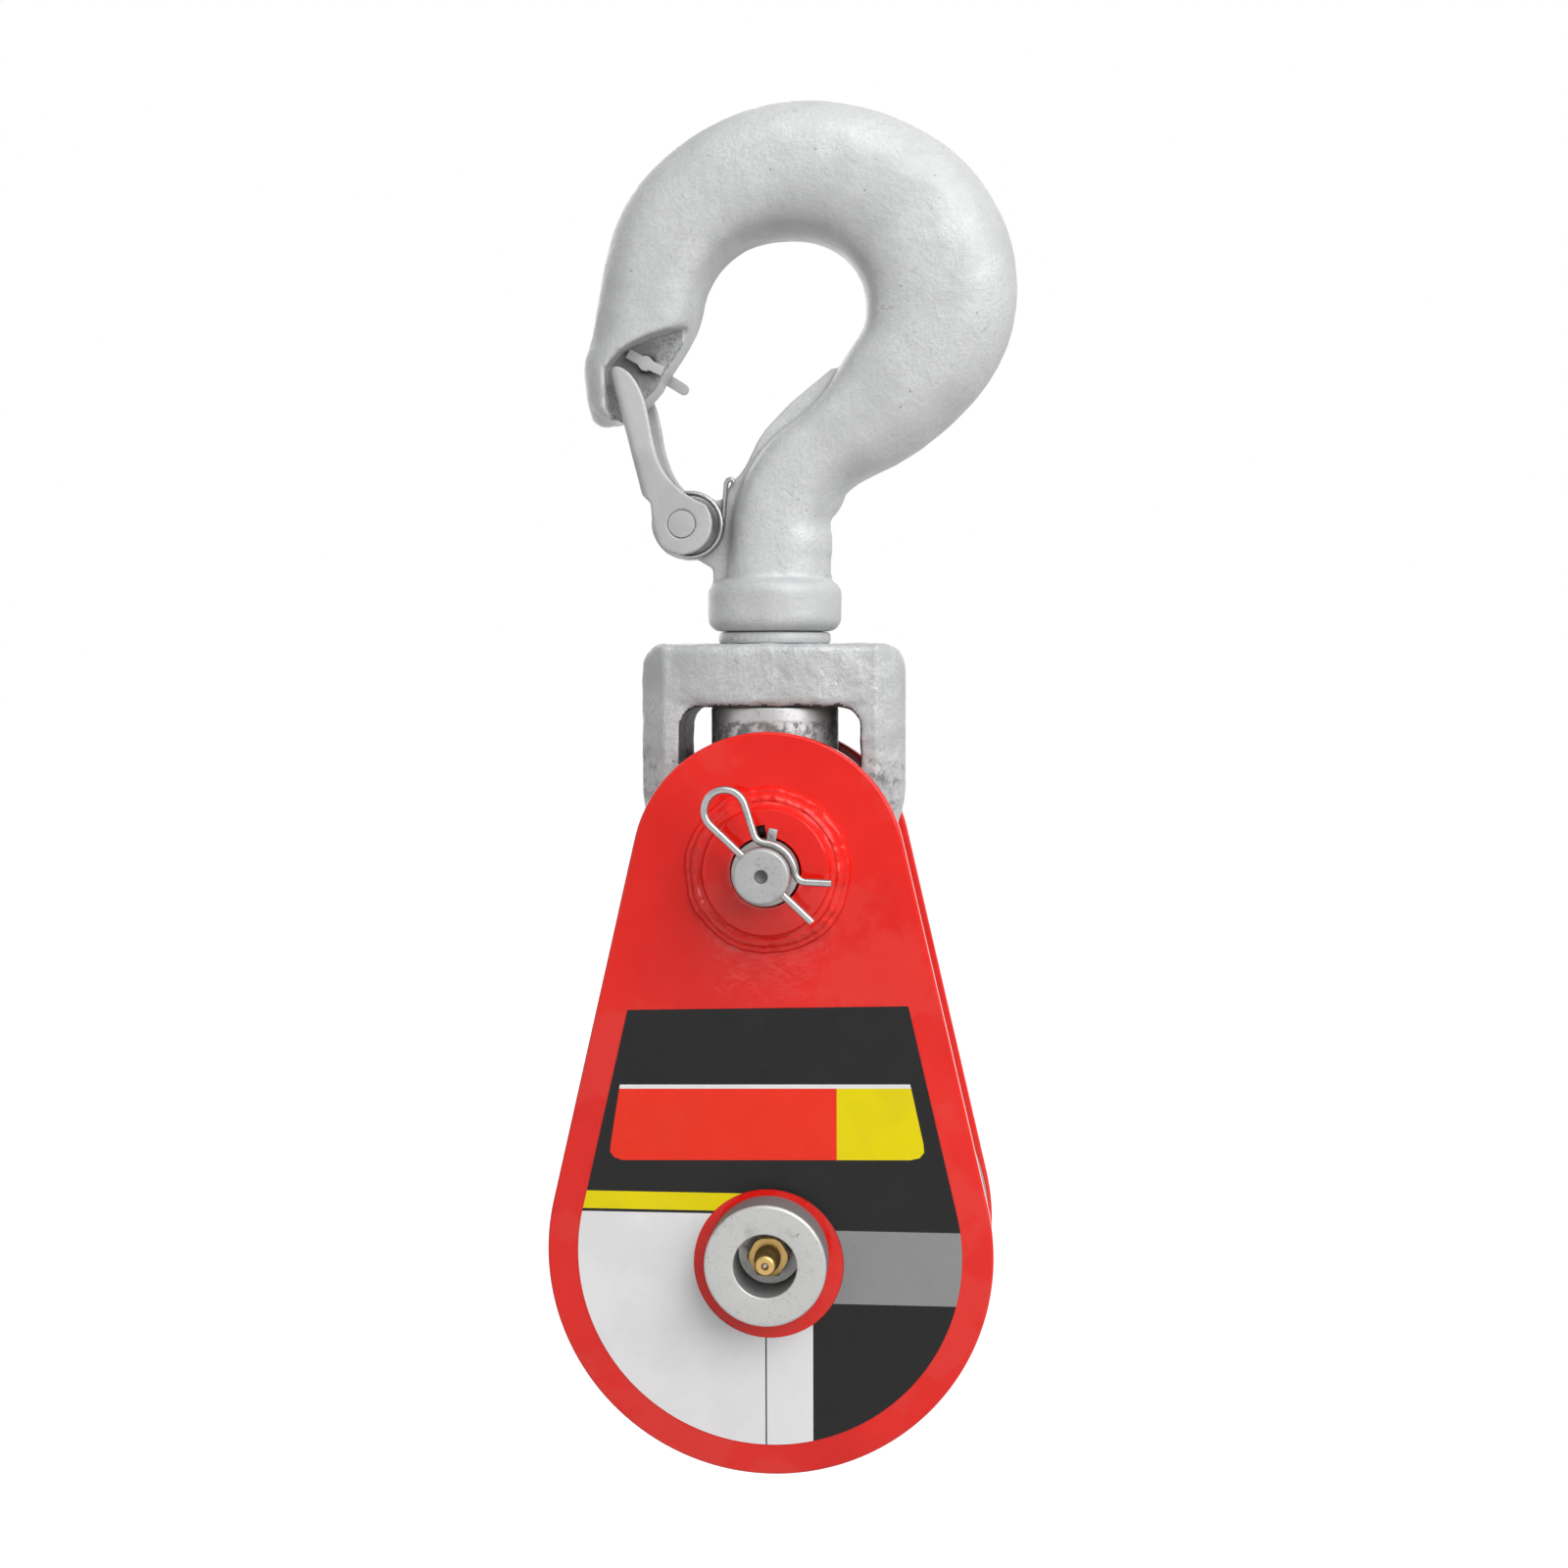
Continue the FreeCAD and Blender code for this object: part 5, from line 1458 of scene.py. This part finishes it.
@dataclass
class LabelFilm:
    """Film on the front plate, divided into plain fields of colour.

    Attributes:
        margin: Distance from the plate's rim.
        top: Height of the film's upper edge. Heights and sides count from the axle's centre.
        top_slope: Rise of that edge over its length.
        hole: Radius of the hole for the axle's head.
        drop: How far its centre lies under the axle's.
        thickness: Thickness of the film.
        band: Corners of the red and yellow band, anticlockwise.
        band_split: Side where the band turns from red to yellow.
        rule: Width of the white rule over the band.
        rule_from: Height over which that rule is drawn.
        stripe: Top and foot of the yellow stripe.
        sheet_top: Top of the white field on the left.
        sheet_right: Right side of the white field under the axle.
        seam: Left and right side of the thin line between the white fields.
        patch: Top and foot of the grey field.
        patch_left: Its left side.
    """

    margin: float = 8.4
    top: float = 66.7
    top_slope: float = 0.025
    hole: float = 20.2
    drop: float = 2.2
    thickness: float = 0.2
    band: tuple[Pair, ...] = ((-40.1, 44.5), (-42.5, 29.6), (-42.7, 27.4), (-41.6, 25.9), (-39.4, 25.15),
                              (37.8, 26.5), (40.3, 27.1), (41.5, 28.6), (41.3, 30.9), (38.05, 45.7))
    band_split: float = 18.3
    rule: float = 1.1
    rule_from: float = 40.0
    stripe: Pair = (16.7, 11.9)
    sheet_top: float = 11.1
    sheet_right: float = 11.9
    seam: Pair = (-0.95, -0.55)
    patch: Pair = (7.1, -12.7)
    patch_left: float = 15.6

    def band_sides(self) -> Iterator[tuple[Pair, Pair]]:
        """Sides of the coloured band, each from corner to corner."""
        return zip(self.band, (*self.band[1:], self.band[0]))

    def cut(self, film: Piece, start: Pair, end: Pair) -> None:
        """Divide the film's faces along the line through two places."""
        with editing(film, "FACE"):
            bpy.ops.mesh.bisect(plane_co=Vector((start[0], 0.0, AXLE_Z + start[1])) * MM,
                                plane_no=Vector((start[1] - end[1], 0.0, end[0] - start[0])).normalized())

    def in_band(self, x: float, z: float) -> bool:
        """Whether a place lies in the coloured band."""
        return all((end[0] - start[0]) * (z - start[1]) > (end[1] - start[1]) * (x - start[0])
                   for start, end in self.band_sides())

    def ink_at(self, x: float, z: float) -> Ink:
        """Colour of the film.

        Args:
            x: Side of the place.
            z: Its height.

        Returns:
            The ink there.
        """
        if self.in_band(x, z):
            return Ink.RED if x < self.band_split else Ink.YELLOW
        if self.in_band(x, z - self.rule) and z > self.rule_from:
            return Ink.WHITE
        if self.stripe[1] < z < self.stripe[0] and x < 0.0:
            return Ink.YELLOW
        if x > self.patch_left and self.patch[1] < z < self.patch[0]:
            return Ink.GREY
        if z < self.sheet_top and x < self.seam[0] or z < 0.0 and self.seam[1] < x < self.sheet_right:
            return Ink.WHITE
        return Ink.BLACK

    def divide(self, film: Piece) -> None:
        """Cut the film's faces along the borders of its fields."""
        for height in (*self.stripe, self.sheet_top, self.patch[0], 0.0, self.patch[1]):
            self.cut(film, (0.0, height), (1.0, height))
        for side in (self.band_split, self.patch_left, self.sheet_right, 0.0, self.seam[1], self.seam[0]):
            self.cut(film, (side, 0.0), (side, 1.0))
        for start, end in self.band_sides():
            self.cut(film, start, end)
        first, last = self.band[0], self.band[-1]
        self.cut(film, (first[0], first[1] + self.rule), (last[0], last[1] + self.rule))

    def build(self, plates: SidePlates) -> None:
        """Cut the film from the plate's outline, divide it and colour its fields.

        Args:
            plates: The side plates, whose outline the film follows.
        """
        near = PLATE_FACE - self.thickness
        film = plates.blank("label_fields", plates.low - self.margin, plates.high - self.margin, near,
                            PLATE_FACE - 0.01)
        with editing(film, "FACE"):
            bpy.ops.mesh.bisect(plane_co=Vector((0.0, 0.0, AXLE_Z + self.top)) * MM,
                                plane_no=(-self.top_slope, 0.0, 1.0), clear_outer=True, use_fill=True)
        carve(film, bar("label_punch", 96, self.hole, 4.0, (0.0, near, AXLE_Z - self.drop)))
        self.divide(film)
        inks = list(Ink)
        materials = [PrintedFilm(f"label_{ink.name.lower()}_ink", ink.value).material() for ink in inks]
        fit(settle(film, 20.0), "block_body", "label_film", materials[0], "label")
        for material in materials[1:]:
            film.data.materials.append(material)
        for face in film.data.polygons:
            face.material_index = inks.index(self.ink_at(face.center.x / MM, face.center.z / MM - AXLE_Z))


@dataclass
class Studio:
    """Plain pale studio: floor, soft lights, white surround and the camera.

    Attributes:
        eye: The camera's place in millimetres.
        tip: Its tilt and pan in degrees, as a turn of a camera that looks square at the plates.
        focal: Focal length in pixels of a picture of that width.
        picture: Width of that picture in pixels.
        sensor: Width of the camera's sensor in millimetres.
        floor: Height of the floor in millimetres.
        ambient: Light from all round.
        aim: Where the lamps point, in metres.
        lamps: Name, place in metres, side in metres and power in watts of each soft light.
    """

    eye: Point = (53.0, -572.7, -115.0)
    tip: Pair = (3.28, -5.04)
    focal: float = 2137.0
    picture: float = 1600.0
    sensor: float = 36.0
    floor: float = -392.0
    ambient: float = 0.25
    aim: Point = (0.0, 0.0, -0.15)
    lamps: tuple[tuple[str, Point, float, float], ...] = (
        ("key_softbox", (1.1, -1.0, 0.75), 1.5, 28.0),
        ("fill_softbox", (-1.2, -0.9, 0.1), 1.2, 3.2),
        ("top_softbox", (0.3, -0.75, 1.1), 1.1, 8.0),
        ("front_card", (-0.14, -1.45, -0.35), 0.18, 0.18),
        ("rear_softbox", (-0.7, 1.4, 0.3), 1.2, 8.0))

    def camera(self) -> None:
        """Set the camera where the photograph was taken from."""
        lens = bpy.data.cameras.new("photo_camera")
        lens.sensor_width = self.sensor
        lens.lens = self.focal * self.sensor / self.picture
        lens.clip_start = 0.01
        lens.clip_end = 20.0
        camera = placed("photo_camera", lens)
        turn = Vector((*self.tip, 0.0))
        swing = Quaternion(turn.normalized(), math.radians(turn.length)).to_matrix()
        square_on = Matrix(((1, 0, 0), (0, 0, -1), (0, 1, 0)))
        facing = (square_on @ swing.transposed()).to_4x4()
        camera.matrix_world = Matrix.Translation(Vector(self.eye) * MM) @ facing
        bpy.context.scene.camera = camera

    def surround(self) -> None:
        """Even light from all round, white where it is seen."""
        world = bpy.data.worlds.new("soft_surround")
        world.use_nodes = True
        nodes = Nodes(world.node_tree)
        back = nodes.tree.nodes["Background"]
        nodes.feed(back.inputs["Strength"], nodes.band(nodes.shown_white(), 0.0, 1.0, self.ambient, 1.0))
        nodes.feed(back.inputs["Color"], (1.0, 1.0, 1.0, 1.0))
        bpy.context.scene.world = world

    def ground(self) -> None:
        """Pale floor that keeps a faint shadow of the block."""
        deselect()
        bpy.ops.mesh.primitive_plane_add(size=30.0, location=(0.0, 0.0, self.floor * MM))
        floor = made("pale_floor")
        s = Shader("pale_floor_paint")
        s.set(Base_Color=(0.45, 0.45, 0.45, 1.0), Roughness=0.9, Specular_IOR_Level=0.0)
        s.set(Emission_Color=(1.0, 1.0, 1.0, 1.0), Emission_Strength=s.math("MULTIPLY", s.shown_white(), 0.9))
        floor.data.materials.append(s.material)

    def hang(self, name: str, place: Point, size: float, power: float) -> None:
        """Hang a square soft light that faces the block's middle.

        Args:
            name: Name of the lamp.
            place: Its place in metres.
            size: Its side in metres.
            power: Its power in watts.
        """
        light = bpy.data.lights.new(name, "AREA")
        light.shape = "SQUARE"
        light.size = size
        light.energy = power
        way = Vector(self.aim) - Vector(place)
        facing = way.to_track_quat("-Z", "Y").to_matrix().to_4x4()
        placed(name, light).matrix_world = Matrix.Translation(place) @ facing

    def build(self) -> None:
        """Build the studio."""
        self.camera()
        self.surround()
        self.ground()
        for lamp in self.lamps:
            self.hang(*lamp)
        bpy.context.scene.view_settings.view_transform = "Standard"


def main() -> None:
    """Build the block's sub-assemblies in order, then the studio."""
    logging.basicConfig(level=logging.INFO, format="%(name)s %(message)s")
    paints = Paints()
    plates = SidePlates()
    ForgedHook().build(paints)
    SpringLatch().build(paints)
    SwivelYoke().build(paints)
    plates.build(paints)
    HeadPin().build(paints)
    AxleSet().build(paints)
    LabelFilm().build(plates)
    Studio().build()
    deselect()


if __name__ == "__main__":
    main()
